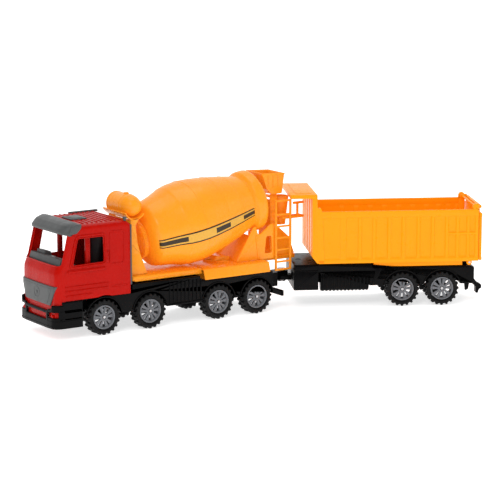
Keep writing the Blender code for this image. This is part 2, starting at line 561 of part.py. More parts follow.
combine(tipper, [*posts, *lugs, *lug_webs], "UNION", None, OFF)
combine(tipper, [rod("gate_bore", 1.9, -60.0, 60.0, GATE_AXIS, sides=16),
                 rod("lug_bore", 2.0, -60.0, 60.0, TILT_AXIS, sides=16)],
        "DIFFERENCE", None, OFF)

# Tailgate: a ribbed plate hung from a top rod
OFF = (GATE_AXIS[0], 0.0, GATE_AXIS[1])
gate = place(box("tailgate", (270.6, 275.0), (-52.0, 52.0), (64.0, 140.5)), GATE, AMBER, OFF)
ears = [box(f"gate_ear_{i}", (262.6, 272.0), (y, y + 3.0), (136.4, 142.6))
        for i, y in enumerate((-44.0, 41.0))]
notches = [box(f"gate_notch_{s}", (265.0, 280.0), (a, b), (131.0, 145.0))
           for s, a, b in (("right", -60.0, -45.4), ("left", 45.4, 60.0))]
combine(gate, notches, "DIFFERENCE", None, OFF)
combine(gate, [*ears, rod("gate_rod", 1.5, -50.5, 50.5, GATE_AXIS, sides=12)], "UNION",
        None, OFF)
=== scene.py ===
"""Looks of a moulded toy concrete mixer truck that tows a tipping trailer.

Shapes are drawn in millimetres in each vehicle's own straight frame: the hitch pin is
the origin, +X runs to the tail and -Y is the right-hand side. stand() puts them where
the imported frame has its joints.
"""
import json
import math

import bmesh
import bpy
import numpy as np
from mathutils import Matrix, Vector


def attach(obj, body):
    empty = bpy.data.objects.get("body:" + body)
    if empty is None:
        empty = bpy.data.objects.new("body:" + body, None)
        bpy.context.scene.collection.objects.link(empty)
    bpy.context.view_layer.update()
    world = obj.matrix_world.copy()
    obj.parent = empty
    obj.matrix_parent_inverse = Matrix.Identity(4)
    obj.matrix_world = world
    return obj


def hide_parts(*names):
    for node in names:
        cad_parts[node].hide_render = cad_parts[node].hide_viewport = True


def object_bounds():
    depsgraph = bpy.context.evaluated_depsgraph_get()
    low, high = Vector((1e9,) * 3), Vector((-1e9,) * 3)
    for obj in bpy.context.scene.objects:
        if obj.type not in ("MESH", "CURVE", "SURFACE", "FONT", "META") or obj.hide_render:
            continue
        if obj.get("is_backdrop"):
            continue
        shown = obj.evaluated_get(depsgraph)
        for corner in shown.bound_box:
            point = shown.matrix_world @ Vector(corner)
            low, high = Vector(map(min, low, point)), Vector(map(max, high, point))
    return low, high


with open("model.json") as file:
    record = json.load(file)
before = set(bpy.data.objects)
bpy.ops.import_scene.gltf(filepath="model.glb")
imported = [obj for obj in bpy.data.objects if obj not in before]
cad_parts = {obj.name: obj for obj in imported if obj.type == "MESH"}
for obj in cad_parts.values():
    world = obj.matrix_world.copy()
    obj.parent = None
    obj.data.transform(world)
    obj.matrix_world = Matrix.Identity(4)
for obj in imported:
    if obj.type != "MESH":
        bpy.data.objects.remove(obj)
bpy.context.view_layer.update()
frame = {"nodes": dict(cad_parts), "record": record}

# Camera and studio. A long lens stands well back off the front right corner, a little
# above the roof. The floor is a flat pale sheet that fades into white air, and three
# soft lamps hang before, beside and above the toy.
AZIMUTH, ELEVATION, DISTANCE, LENS = -33.356, 10.719, 2.9627, 157.09
AIM_FORWARD, AIM_HEIGHT = 0.0304, 0.0927
low, high = (Vector(corner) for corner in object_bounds())
middle = (low + high) / 2
turn, rise = math.radians(AZIMUTH), math.radians(ELEVATION)
backwards = Vector((math.sin(turn) * math.cos(rise), -math.cos(turn) * math.cos(rise),
                    math.sin(rise)))
camera_data = bpy.data.cameras.new("camera")
camera_data.lens = LENS
camera_data.sensor_width = 36.0
camera_data.clip_end = 50.0
camera = bpy.data.objects.new("camera", camera_data)
aim = Vector((middle.x - AIM_FORWARD, middle.y, AIM_HEIGHT))
camera.location = aim + backwards * DISTANCE
camera.rotation_mode = "QUATERNION"
camera.rotation_quaternion = (-backwards).to_track_quat("-Z", "Y")
bpy.context.scene.collection.objects.link(camera)
bpy.context.scene.camera = camera
bpy.context.scene.view_settings.view_transform = "Standard"

WHITE = (1.0, 1.0, 1.0, 1.0)
FLOOR_REACH, FLOOR_LINES, FLOOR_DROP = 7.0, 9, 0.0003
FLOOR_GLOW, AIR_GLOW, AIR_SEEN, ROOM_DIM = 0.66, 0.66, 1.0, 0.12


def floor_finish():
    """Matt off-white paper with a very faint mottle and a glow that keeps it pale."""
    made = bpy.data.materials.new("studio_paper")
    made.use_nodes = True
    nodes, links = made.node_tree.nodes, made.node_tree.links
    shader = nodes["Principled BSDF"]
    shader.inputs["Roughness"].default_value = 0.9
    shader.inputs["Specular IOR Level"].default_value = 0.1
    shader.inputs["Emission Color"].default_value = WHITE
    shader.inputs["Emission Strength"].default_value = FLOOR_GLOW
    where = nodes.new("ShaderNodeTexCoord")
    mottle = nodes.new("ShaderNodeTexNoise")
    mottle.inputs["Scale"].default_value = 3.0
    ramp = nodes.new("ShaderNodeValToRGB")
    ramp.color_ramp.elements[0].color = (0.90, 0.90, 0.90, 1.0)
    ramp.color_ramp.elements[1].color = (0.93, 0.93, 0.925, 1.0)
    links.new(where.outputs["Object"], mottle.inputs["Vector"])
    links.new(mottle.outputs["Fac"], ramp.inputs["Fac"])
    links.new(ramp.outputs["Color"], shader.inputs["Base Color"])
    return made


def floor_sheet():
    """A flat sheet on a coarse square grid, a hair below z = 0 so that it cuts no tyre."""
    side = np.linspace(-FLOOR_REACH, FLOOR_REACH, FLOOR_LINES)
    x, y = np.meshgrid(side, side)
    points = np.stack([x, y, np.full_like(x, -FLOOR_DROP)], -1).reshape(-1, 3)
    index = np.arange(FLOOR_LINES ** 2).reshape(FLOOR_LINES, FLOOR_LINES)
    quads = np.stack([index[:-1, :-1], index[:-1, 1:], index[1:, 1:], index[1:, :-1]], -1)
    mesh = bpy.data.meshes.new("studio_floor")
    mesh.from_pydata(points.tolist(), [], quads.reshape(-1, 4).tolist())
    mesh.materials.append(floor_finish())
    made = bpy.data.objects.new("studio_floor", mesh)
    bpy.context.scene.collection.objects.link(made)
    return made


floor_sheet()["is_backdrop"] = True


def studio_air():
    """White air: plain white to the lens, dimmer as light, and uneven in reflections.

    What a reflection sees is white behind the toy and a dim room on the lens's side. Its
    strength climbs with the dot product of the ray and one fixed direction.
    """
    made = bpy.data.worlds.new("studio_air")
    made.use_nodes = True
    nodes, links = made.node_tree.nodes, made.node_tree.links

    def white(node, strength):
        """A background node in plain white."""
        node.inputs["Color"].default_value = WHITE
        node.inputs["Strength"].default_value = strength
        return node

    def pick(test, otherwise, then):
        """The second shader for rays that pass the test, the first for the others."""
        mix = nodes.new("ShaderNodeMixShader")
        links.new(test, mix.inputs["Fac"])
        links.new(otherwise, mix.inputs[1])
        links.new(then, mix.inputs[2])
        return mix.outputs["Shader"]

    given = white(nodes["Background"], AIR_GLOW)
    seen = white(nodes.new("ShaderNodeBackground"), AIR_SEEN)
    mirrored_room = white(nodes.new("ShaderNodeBackground"), AIR_SEEN)
    path, toward = nodes.new("ShaderNodeLightPath"), nodes.new("ShaderNodeTexCoord")
    ahead = nodes.new("ShaderNodeVectorMath")
    ahead.operation = "DOT_PRODUCT"
    ahead.inputs[1].default_value = -backwards
    room = nodes.new("ShaderNodeMapRange")
    room.inputs["From Min"].default_value = -0.1
    room.inputs["From Max"].default_value = 0.5
    room.inputs["To Min"].default_value = ROOM_DIM
    room.inputs["To Max"].default_value = AIR_SEEN
    links.new(toward.outputs["Generated"], ahead.inputs[0])
    links.new(ahead.outputs["Value"], room.inputs["Value"])
    links.new(room.outputs["Result"], mirrored_room.inputs["Strength"])
    plain = pick(path.outputs["Is Camera Ray"], given.outputs["Background"],
                 seen.outputs["Background"])
    links.new(pick(path.outputs["Is Glossy Ray"], plain, mirrored_room.outputs["Background"]),
              nodes["World Output"].inputs["Surface"])
    return made


bpy.context.scene.world = studio_air()


def softbox(name, place, aim, size, power):
    """A square soft light that faces its aim."""
    data = bpy.data.lights.new(name, "AREA")
    data.size = size
    data.energy = power
    made = bpy.data.objects.new(name, data)
    made.location = place
    made.rotation_mode = "QUATERNION"
    made.rotation_quaternion = (Vector(aim) - Vector(place)).to_track_quat("-Z", "Y")
    bpy.context.scene.collection.objects.link(made)
    made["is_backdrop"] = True


softbox("key_light", (-1.5, -1.4, 1.7), middle, 0.7, 12.0)
softbox("fill_light", (1.9, -1.5, 0.9), middle, 1.2, 4.0)
softbox("top_light", (0.1, 0.2, 2.2), middle, 1.5, 14.0)

# Wheels. Twelve moulded wheels: a black tyre with chunky shoulder lugs, pressed on a
# silver-grey rim with five twin spokes, all on plain steel axles that turn freely.
MM = 0.001
HANDS = ((-1.0, "right"), (1.0, "left"))
VEHICLES = {1: "truck", 2: "truck", 3: "truck", 4: "truck", 5: "trailer", 6: "trailer"}


def joint(name):
    """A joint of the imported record."""
    return next(j for j in frame["record"]["behaviour"]["joints"] if j["name"] == name)


PIN = joint("hitch_yaw")["pos_m"]
SIDEWAYS = joint("axle_5_spin")["axis"]
HEADING = {"truck": 0.0, "trailer": math.atan2(-SIDEWAYS[0], SIDEWAYS[1])}


def stand(points, vehicle):
    """Millimetres in a vehicle's frame to metres in the scene, turned about the pin."""
    c, s = math.cos(HEADING[vehicle]), math.sin(HEADING[vehicle])
    x, y, z = np.moveaxis(np.asarray(points, float), -1, 0)
    return np.stack([PIN[0] + (c * x - s * y) * MM, PIN[1] + (s * x + c * y) * MM, z * MM], -1)


def unstand(point, vehicle):
    """The reverse of stand() for one point."""
    c, s = math.cos(HEADING[vehicle]), math.sin(HEADING[vehicle])
    x, y = point[0] - PIN[0], point[1] - PIN[1]
    return (c * x + s * y) / MM, (-s * x + c * y) / MM, point[2] / MM


def grid(points, round_v=False):
    """Quads over a (rows, columns, 3) array whose columns close into rings.

    The first and last rings are capped, or joined to each other with round_v.
    """
    rows, columns = points.shape[:2]
    index = np.arange(rows * columns).reshape(rows, columns)
    index = np.concatenate([index, index[:, :1]], 1)
    if round_v:
        index = np.concatenate([index, index[:1]], 0)
    quads = np.stack([index[:-1, :-1], index[:-1, 1:], index[1:, 1:], index[1:, :-1]], -1)
    faces = quads.reshape(-1, 4).tolist()
    if not round_v:
        faces += [index[0, :columns].tolist()[::-1], index[-1, :columns].tolist()]
    return points.reshape(-1, 3), faces


def eased(outline, corner, steps=4, closed=True):
    """Each corner gives way to a parabola that leaves one side and joins the next."""
    p = np.asarray(outline, float)
    if corner <= 0.0:
        return p
    back, ahead = np.roll(p, 1, 0) - p, np.roll(p, -1, 0) - p
    far_back = np.linalg.norm(back, axis=1, keepdims=True)
    far_ahead = np.linalg.norm(ahead, axis=1, keepdims=True)
    reach = np.minimum(corner, 0.45 * np.minimum(far_back, far_ahead))
    if not closed:
        reach[[0, -1]] = 0.0
    a, b = p + back / far_back * reach, p + ahead / far_ahead * reach
    u = np.linspace(0.0, 1.0, steps)[None, :, None]
    curve = (1 - u) ** 2 * a[:, None] + 2 * u * (1 - u) * p[:, None] + u ** 2 * b[:, None]
    curve = curve.reshape(-1, p.shape[1])
    return curve if closed else curve[steps - 1:len(curve) - steps + 1]


def merged(shapes):
    """Several (points, faces) shapes as one."""
    points, faces, count = [], [], 0
    for some, quads in shapes:
        points.append(np.asarray(some, float))
        faces += [[i + count for i in face] for face in quads]
        count += len(some)
    return np.concatenate(points), faces


def raw_object(name, shapes, vehicle):
    """A mesh object from shapes, its doubles merged and its faces turned outwards."""
    points, faces = merged(shapes)
    mesh = bpy.data.meshes.new(name)
    mesh.from_pydata(stand(points, vehicle).tolist(), [], faces)
    bm = bmesh.new()
    bm.from_mesh(mesh)
    bmesh.ops.remove_doubles(bm, verts=bm.verts, dist=0.000002)
    bmesh.ops.recalc_face_normals(bm, faces=bm.faces)
    bm.to_mesh(mesh)
    bm.free()
    made = bpy.data.objects.new(name, mesh)
    bpy.context.scene.collection.objects.link(made)
    return made


def piece(name, shapes, finish, body, nodes=(), vehicle="truck", cuts=(), sharp=34.0):
    """A finished piece: shapes, less the cutting shapes, in one material on one body."""
    made = raw_object(name, shapes, vehicle)
    if cuts:
        tools = [raw_object(f"{name}_cutter_{i}", [cut], vehicle) for i, cut in enumerate(cuts)]
        for tool in tools:
            modifier = made.modifiers.new("cut", "BOOLEAN")
            modifier.operation = "DIFFERENCE"
            modifier.solver = "EXACT"
            modifier.object = tool
        graph = bpy.context.evaluated_depsgraph_get()
        carved = bpy.data.meshes.new_from_object(made.evaluated_get(graph))
        made.modifiers.clear()
        made.data = carved
        for tool in tools:
            bpy.data.objects.remove(tool)
    mesh = made.data
    mesh.name = name
    mesh.materials.clear()
    mesh.materials.append(finish)
    mesh.polygons.foreach_set("use_smooth", np.ones(len(mesh.polygons), bool))
    mesh.set_sharp_from_angle(angle=math.radians(sharp))
    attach(made, body)
    if nodes:
        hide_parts(*nodes)
    return made


def moulded(name, slot, colour, rough, shift=0.10, grain=0.35, glow=0.0, shine=0.3):
    """Moulded plastic: flow marks as slow colour drift, a fine mould grain and faint rubs.

    colour drifts by shift between its pale and its deep tone over a few centimetres, a
    millimetre grain lifts the surface, and the roughness wanders about its mean. shine is
    how strongly the skin reflects. The glow is painted light: a weak emission in the
    plastic's own colour that brightens its shaded sides.
    """
    made = bpy.data.materials.new(name)
    made["slot"] = slot
    made.use_nodes = True
    nodes, links = made.node_tree.nodes, made.node_tree.links
    shader = nodes["Principled BSDF"]
    shader.inputs["Specular IOR Level"].default_value = shine
    shader.inputs["Emission Color"].default_value = (*colour, 1.0)
    shader.inputs["Emission Strength"].default_value = glow
    where = nodes.new("ShaderNodeTexCoord")

    def noise(scale, detail, distortion=0.0):
        """A noise on the piece's own place in metres, scale waves to the metre."""
        made_noise = nodes.new("ShaderNodeTexNoise")
        made_noise.inputs["Scale"].default_value = scale
        made_noise.inputs["Detail"].default_value = detail
        made_noise.inputs["Distortion"].default_value = distortion
        links.new(where.outputs["Object"], made_noise.inputs["Vector"])
        return made_noise.outputs["Fac"]

    tone = nodes.new("ShaderNodeValToRGB")
    deep_stop, pale_stop = tone.color_ramp.elements
    deep_stop.position, pale_stop.position = 0.3, 0.7
    deep_stop.color = (*[channel * (1.0 - shift) for channel in colour], 1.0)
    pale_stop.color = (*colour, 1.0)
    links.new(noise(28.0, 3.0, 0.8), tone.inputs["Fac"])
    links.new(tone.outputs["Color"], shader.inputs["Base Color"])
    spread = nodes.new("ShaderNodeMapRange")
    spread.inputs["From Min"].default_value = 0.3
    spread.inputs["From Max"].default_value = 0.7
    spread.inputs["To Min"].default_value = rough - 0.05
    spread.inputs["To Max"].default_value = rough + 0.07
    links.new(noise(140.0, 4.0), spread.inputs["Value"])
    links.new(spread.outputs["Result"], shader.inputs["Roughness"])
    lift = nodes.new("ShaderNodeBump")
    lift.inputs["Strength"].default_value = grain
    lift.inputs["Distance"].default_value = 0.00006
    links.new(noise(1100.0, 2.0), lift.inputs["Height"])
    links.new(lift.outputs["Normal"], shader.inputs["Normal"])
    return made


def carry_over(names, finish):
    """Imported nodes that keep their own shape, in a finish of their own."""
    for name in names:
        frame["nodes"][name].data.materials.clear()
        frame["nodes"][name].data.materials.append(finish)


TYRE_BLACK = moulded("tyre_black", "tyre_rubber", (0.007, 0.007, 0.0075), 0.5, shift=0.3,
                     grain=0.8, shine=0.14)
RIM_GREY = moulded("rim_grey", "silver_grey_plastic", (0.15, 0.156, 0.17), 0.42, shift=0.06,
                   grain=0.3)
STEEL = moulded("drawn_steel", "steel", (0.55, 0.55, 0.56), 0.32, shift=0.15, grain=0.4)
STEEL.node_tree.nodes["Principled BSDF"].inputs["Metallic"].default_value = 1.0
TYRE_OUT, TYRE_IN, TYRE_FOOT = 47.0, 30.5, 21.9
LUGS, LUG_HEIGHT = 20, 2.1
SPOKES, SPOKE_LEAN, NUT_CIRCLE = 5, 0.27, 4.1
LEG_FOOT, LEG_TOP = 4.6, 14.4


def along_loop(outline, count):
    """count points evenly spread by length along a closed outline."""
    p = np.concatenate([outline, outline[:1]])
    far = np.concatenate([[0.0], np.cumsum(np.linalg.norm(np.diff(p, axis=0), axis=1))])
    at = np.linspace(0.0, far[-1], count, endpoint=False)
    return np.stack([np.interp(at, far, p[:, k]) for k in range(p.shape[1])], -1)


def spun(profile, centre, side, count, swell=None):
    """A ring about an axle: point = (r cos a, side y, r sin a), r raised by swell(a, r, y)."""
    angle = np.linspace(0.0, 2.0 * math.pi, count, endpoint=False)[None, :]
    r, y = profile[:, 0][:, None], profile[:, 1][:, None]
    r = r + (swell(angle, r, y) if swell else 0.0 * angle)
    y = y + 0.0 * angle
    return np.stack([centre[0] + r * np.cos(angle), side * y, centre[2] + r * np.sin(angle)], -1)


def lug_wave(angle, r, y):
    """Two staggered rows of blocks: a steep-sided wave, faded out down the sidewall."""
    row = np.where(y > (TYRE_OUT + TYRE_IN) / 2, 0.0, math.pi)
    wave = 1.0 / (1.0 + np.exp(-14.0 * (np.cos(LUGS * angle + row) - 0.05)))
    shoulder = np.clip((r - 19.6) / 1.0, 0.0, 1.0)
    groove = np.clip((np.abs(y - (TYRE_OUT + TYRE_IN) / 2) - 0.7) / 0.8, 0.0, 1.0)
    return LUG_HEIGHT * wave * shoulder * groove


def tyre(centre, side):
    """The tyre's rounded ring with its lugs."""
    ring = [(16.5, 45.8), (18.2, 46.6), (20.4, 47.0), (21.6, 46.6), (TYRE_FOOT, 45.4),
            (TYRE_FOOT, 32.1), (21.6, 30.9), (20.4, 30.5), (18.2, 30.9), (16.5, 31.7)]
    profile = along_loop(eased(ring, 1.2), 60)
    return grid(spun(profile, centre, side, LUGS * 12, lug_wave), round_v=True)


def tyre_marks(centre, side):
    """Six short raised bars on the sidewall, where a maker moulds its marks."""
    shapes = []
    ring = eased([(18.6, 46.3), (20.2, 46.3), (20.2, 46.98), (18.6, 46.98)], 0.2)
    r, y = ring[:, 0][None, :], ring[:, 1][None, :]
    for start in (58.0, 84.0, 108.0, 240.0, 266.0, 290.0):
        a = np.radians(np.linspace(start, start + 17.0, 9))[:, None]
        points = np.stack([centre[0] + r * np.cos(a), side * y + 0.0 * a,
                           centre[2] + r * np.sin(a)], -1)
        shapes.append(grid(points))
    return shapes


def spoke_leg(centre, side, angle):
    """One leg: a bar from hub to rim ring that widens outwards from 2.7 to 6.7 mm.

    A rounded section is carried along the radius. Its half width grows from 1.35 mm by
    2 mm times the share of the way out to the power 1.5, and its face falls back.
    """
    reach = np.linspace(LEG_FOOT, LEG_TOP, 9)[:, None]
    width = 1.35 + 2.0 * ((reach - LEG_FOOT) / (LEG_TOP - LEG_FOOT)) ** 1.5
    front = 45.3 - 0.10 * (reach - LEG_FOOT)
    section = eased([(-1.0, -2.8), (1.0, -2.8), (0.8, 0.0), (-0.8, 0.0)], 0.3)
    across = section[:, 0][None, :] * width
    y = front + section[:, 1][None, :]
    c, s = math.cos(angle), math.sin(angle)
    radial = reach + 0.0 * across
    return grid(np.stack([centre[0] + radial * c - across * s, side * y,
                          centre[2] + radial * s + across * c], -1))


def rim(centre, side):
    """The barrel with its rolled lip, the hub with five nuts, and five pairs of legs."""
    barrel = [(13.6, 32.2), (16.1, 32.2), (16.1, 46.1), (15.2, 46.6), (14.2, 46.0),
              (13.5, 44.2)]
    hub = [(2.05, 41.0), (5.9, 41.0), (5.9, 44.9), (5.1, 45.7), (3.1, 45.7), (2.8, 45.0),
           (2.05, 45.0)]
    shapes = [grid(spun(eased(part, 0.4), centre, side, 72), round_v=True)
              for part in (barrel, hub)]
    nut_line = np.array([(0.01, 45.4), (0.62, 45.4), (0.62, 46.1), (0.01, 46.2)])
    for spoke in range(SPOKES):
        angle = math.radians(90.0 + 360.0 / SPOKES * spoke)
        shapes += [spoke_leg(centre, side, angle + lean) for lean in (-SPOKE_LEAN, SPOKE_LEAN)]
        nut = (centre[0] + NUT_CIRCLE * math.cos(angle), 0.0,
               centre[2] + NUT_CIRCLE * math.sin(angle))
        shapes.append(grid(spun(nut_line, nut, side, 6)))
    return shapes


for number, vehicle in VEHICLES.items():
    centre = unstand(joint(f"axle_{number}_spin")["pos_m"], vehicle)
    for side, hand in HANDS:
        body = f"axle_set_{number}"
        piece(f"lugged_tyre_{number}_{hand}", [tyre(centre, side), *tyre_marks(centre, side)],
              TYRE_BLACK, body, [f"tyre_{number}_{hand}"], vehicle)
        piece(f"spoked_rim_{number}_{hand}", rim(centre, side), RIM_GREY, body,
              [f"rim_{number}_{hand}"], vehicle)
carry_over([f"axle_{number}" for number in VEHICLES], STEEL)

# Truck underbody. One black moulding carries the fenders: arches over four axles, with
# upright ribs on the box between the second and the third wheel. The spine behind it
# and the underrun bar at the tail stay plain.
BLACK = moulded("chassis_black", "black_plastic", (0.003, 0.003, 0.0034), 0.3, shift=0.25,
                grain=0.3, shine=0.07)
ARCH, AXLE_Z, FENDER_FOOT = 26.5, 24.0, 27.0
AXLES = [unstand(joint(f"axle_{number}_spin")["pos_m"], vehicle)[0]
         for number, vehicle in VEHICLES.items()]


def soft(outline, start, stop, along="y", edge=0.7, corner=1.2, spans=1, bend=None):
    """A slab with eased corners and rolled rims.

    The outline runs along one axis from start to stop. At each end it shrinks by
    edge (1 - sin a) while it advances by edge (1 - cos a), a quarter circle. The outline
    is (x, z) along y, (y, z) along x and (x, y) along z; bend moves the points after.
    """
    loop = eased(outline, corner)
    ahead = np.roll(loop, -1, 0)
    if np.sum(loop[:, 0] * ahead[:, 1] - ahead[:, 0] * loop[:, 1]) < 0.0:
        loop = loop[::-1]
    step = np.roll(loop, -1, 0) - loop
    step /= np.maximum(np.linalg.norm(step, axis=1, keepdims=True), 1e-9)
    side = np.stack([step[:, 1], -step[:, 0]], 1)
    out = side + np.roll(side, 1, 0)
    out /= np.maximum(np.linalg.norm(out, axis=1, keepdims=True), 1e-9)
    out /= np.maximum(np.sum(out * side, 1, keepdims=True), 0.5)
    edge = min(edge, (stop - start) * 0.49)
    a = np.linspace(0.0, math.pi / 2.0, 4)
    inset, rise = edge * (1.0 - np.sin(a)), edge * (1.0 - np.cos(a))
    inner_rows = np.linspace(start + edge, stop - edge, spans + 1)[1:-1]
    level = np.concatenate([start + rise, inner_rows, (stop - rise)[::-1]])
    inset = np.concatenate([inset, 0.0 * inner_rows, inset[::-1]])
    flat = loop[None] - out[None] * inset[:, None, None]
    up = level[:, None] + 0.0 * flat[..., 0]
    order = {"y": (flat[..., 0], up, flat[..., 1]), "x": (up, flat[..., 0], flat[..., 1]),
             "z": (flat[..., 0], flat[..., 1], up)}[along]
    points, faces = grid(np.stack(order, -1))
    return (bend(points) if bend else points), faces


def block(x, y, z, edge=0.7):
    """A soft-edged bar between three ranges, its section in XZ."""
    outline = [(x[0], z[0]), (x[1], z[0]), (x[1], z[1]), (x[0], z[1])]
    return soft(outline, y[0], y[1], "y", edge, edge)


def both(make):
    """The same shape on the right and on the left: make(side) with side -1 and 1."""
    return [make(-1.0), make(1.0)]


def between(side, inner, outer):
    """A range across the vehicle on one side, low end first."""
    return tuple(sorted((side * inner, side * outer)))


def arch_points(x, start, stop, count=17):
    """Points on a wheel arch, angles in degrees."""
    a = np.radians(np.linspace(start, stop, count))
    return list(zip(x + ARCH * np.cos(a), AXLE_Z + ARCH * np.sin(a)))


def arch_lip(x, side, inner, outer, foot):
    """A raised lip round an arch: its section is turned from foot degrees to 180 - foot."""
    section = eased([(ARCH - 0.2, inner), (ARCH + 1.8, inner), (ARCH + 1.4, outer),
                     (ARCH - 0.2, outer)], 0.4)
    a = np.radians(np.linspace(foot, 180.0 - foot, 33))[:, None]
    r, y = section[:, 0][None], side * section[:, 1][None] + 0.0 * a
    return grid(np.stack([x + r * np.cos(a), y, AXLE_Z + r * np.sin(a)], -1))


foot_angle = math.degrees(math.asin((FENDER_FOOT - AXLE_Z) / ARCH))
fender_line = [(-345.0, 49.7), (-345.0, 51.7), (-268.6, 51.7), (-268.6, 63.0),
               (-163.2, 63.0), (-163.2, 56.6), (-45.0, 56.6), (-45.0, FENDER_FOOT)]
for x in reversed(AXLES[1:4]):
    fender_line += arch_points(x, foot_angle, 180.0 - foot_angle)
fender_line += arch_points(AXLES[0], foot_angle, 104.0)
fenders = both(lambda side: soft(fender_line, *between(side, 29.0, 45.5), "y", 0.6, 0.4))
fenders.append(block((-268.0, -163.5), (-44.0, 44.0), (50.0, 63.0)))
fenders.append(block((-162.5, -45.5), (-44.0, 44.0), (50.0, 56.4)))
for side in (-1.0, 1.0):
    for x in np.arange(-211.0, -162.0, 6.1):
        fenders.append(block((x - 1.0, x + 1.0), between(side, 45.0, 46.3), (31.0, 59.0), 0.4))
    fenders.append(block((-213.5, -161.5), between(side, 45.0, 46.5), (27.3, 30.0), 0.5))
    fenders.append(block((-213.5, -163.3), between(side, 45.0, 46.5), (60.0, 62.8), 0.5))
    fenders += [arch_lip(x, side, 45.2, 46.4, 12.0) for x in AXLES[:4]]
piece("ribbed_fenders", fenders, BLACK, "truck", ["truck_fenders"])

# Truck spine and underrun. The spine is one black moulding with hangers for the axles and
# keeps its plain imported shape. The underrun is a second bar on two arms at the tail.
carry_over(["truck_chassis"], BLACK)
underrun = [block((-27.0, -23.5), (-41.0, 41.0), (18.5, 26.5), 0.8),
            block((-27.4, -24.2), (-8.0, 8.0), (21.0, 29.7), 0.5)]
underrun += both(lambda side: soft([(-44.6, 32.0), (-41.0, 32.0), (-25.0, 24.0),
                                    (-25.0, 20.0), (-44.6, 25.0)],
                                   *between(side, 37.0, 40.0), "y", 0.5, 0.8))
piece("underrun_bar", underrun, BLACK, "truck", ["rear_underrun"])

# Cab. A hollow red moulding about 2 mm thick: the nose bows forwards, the windscreen
# leans back, the corners are rolled and the three window openings have raised rims.
RED = moulded("cab_red", "red_plastic", (0.45, 0.004, 0.001), 0.26, shift=0.08, grain=0.15,
              shine=0.09)
CAB_BACK, CAB_WIDE, WALL = -273.0, 48.0, 2.2
SILL, ROOF_EDGE, ROOF_RISE = 52.0, 143.0, 7.5
CAB_NOSE = [(36.0, -384.9), (84.0, -384.9), (89.0, -384.5), (95.0, -382.2), (101.0, -379.5),
            (120.0, -374.5), (138.0, -369.8), (143.0, -366.8), (151.0, -362.0)]
PLAN_BOW = [(0.0, 0.0), (0.4, 30.0), (1.6, 41.5), (2.8, 44.0), (4.6, 46.0), (7.2, 47.3),
            (10.5, 47.9), (14.0, 48.0)]
PLAN_DEPTH, CAB_ARCH, CAB_FOOT = 14.0, 30.0, 36.6


def front_at(z):
    """How far forwards the cab front stands at a height."""
    levels = np.array(CAB_NOSE)
    return np.interp(z, levels[:, 0], levels[:, 1])


def bow_at(y):
    """How far the front falls back from its middle at a distance across."""
    plan = np.array(PLAN_BOW)
    return np.interp(np.abs(y), plan[:, 1], plan[:, 0])


def on_front(points, depth=0.0):
    """Points (offset, y, z) laid on the cab's bow and profile, depth inside its skin."""
    laid = points.copy()
    laid[..., 1] = points[..., 1] * (1.0 - depth / CAB_WIDE)
    laid[..., 0] += bow_at(points[..., 1]) + front_at(points[..., 2]) + depth
    return laid


def polar(loop, middle, angles):
    """The loop's distance from a middle point along rays at the given angles."""
    away = np.asarray(loop, float) - middle
    dense = np.linspace(0.0, 1.0, 24, endpoint=False)[None, :, None]
    away = (away[:, None] * (1 - dense) + np.roll(away, -1, 0)[:, None] * dense).reshape(-1, 2)
    angle = np.arctan2(away[:, 1], away[:, 0])
    order = np.argsort(angle)
    angle, reach = angle[order], np.hypot(away[:, 0], away[:, 1])[order]
    return np.interp(angles, angle, reach, period=2.0 * math.pi)


def windowed(outline, window, rows, spread=1.0):
    """A (2 x rows, rays, 2) layout of a wall with one opening.

    Along each ray from the window's middle the points run from the window's edge to the
    wall's edge and back again, which a caller lays on the outer and the inner skin.
    """
    hole, wall = eased(window, 3.5, 7), eased(outline, 0.8, 3)
    middle = hole.mean(0)
    corners = np.concatenate([hole - middle, wall - middle])
    rays = np.unique(np.round(np.concatenate([np.linspace(-math.pi, math.pi, 120, False),
                                              np.arctan2(corners[:, 1], corners[:, 0])]), 2))
    inner, outer = polar(hole, middle, rays), polar(wall, middle, rays)
    share = (np.linspace(0.0, 1.0, rows) ** spread)[:, None]
    reach = inner[None] + (outer - inner)[None] * share
    reach = np.concatenate([reach, reach[::-1]])
    return middle + np.stack([reach * np.cos(rays), reach * np.sin(rays)], -1)


def side_wall(side):
    """A cab side with its door window, 2.2 mm thick."""
    nose = [(front_at(z) + PLAN_DEPTH, z) for z in np.linspace(ROOF_EDGE, SILL, 12)]
    a = np.radians(np.linspace(110.0, 70.0, 9))
    arch = [(AXLES[0] + CAB_ARCH * math.cos(t), AXLE_Z + CAB_ARCH * math.sin(t)) for t in a]
    outline = nose + arch + [(CAB_BACK, SILL), (CAB_BACK, ROOF_EDGE)]
    flat = windowed(outline, DOOR_WINDOW, 5)
    half = len(flat) // 2
    y = np.full(flat.shape[:2], side * CAB_WIDE)
    y[half:] = side * (CAB_WIDE - WALL)
    return grid(np.stack([flat[..., 0], y, flat[..., 1]], -1), round_v=True)


def nose_wall():
    """The bowed front with the windscreen opening; its edges wrap round to the sides."""
    outline = [(-CAB_WIDE, CAB_FOOT), (CAB_WIDE, CAB_FOOT), (CAB_WIDE, ROOF_EDGE),
               (-CAB_WIDE, ROOF_EDGE)]
    flat = windowed(outline, WINDSCREEN, 26, 0.8)
    half = len(flat) // 2
    points = np.stack([0.0 * flat[..., 0], flat[..., 0], flat[..., 1]], -1)
    return grid(np.concatenate([on_front(points[:half]), on_front(points[half:], WALL)]),
                round_v=True)


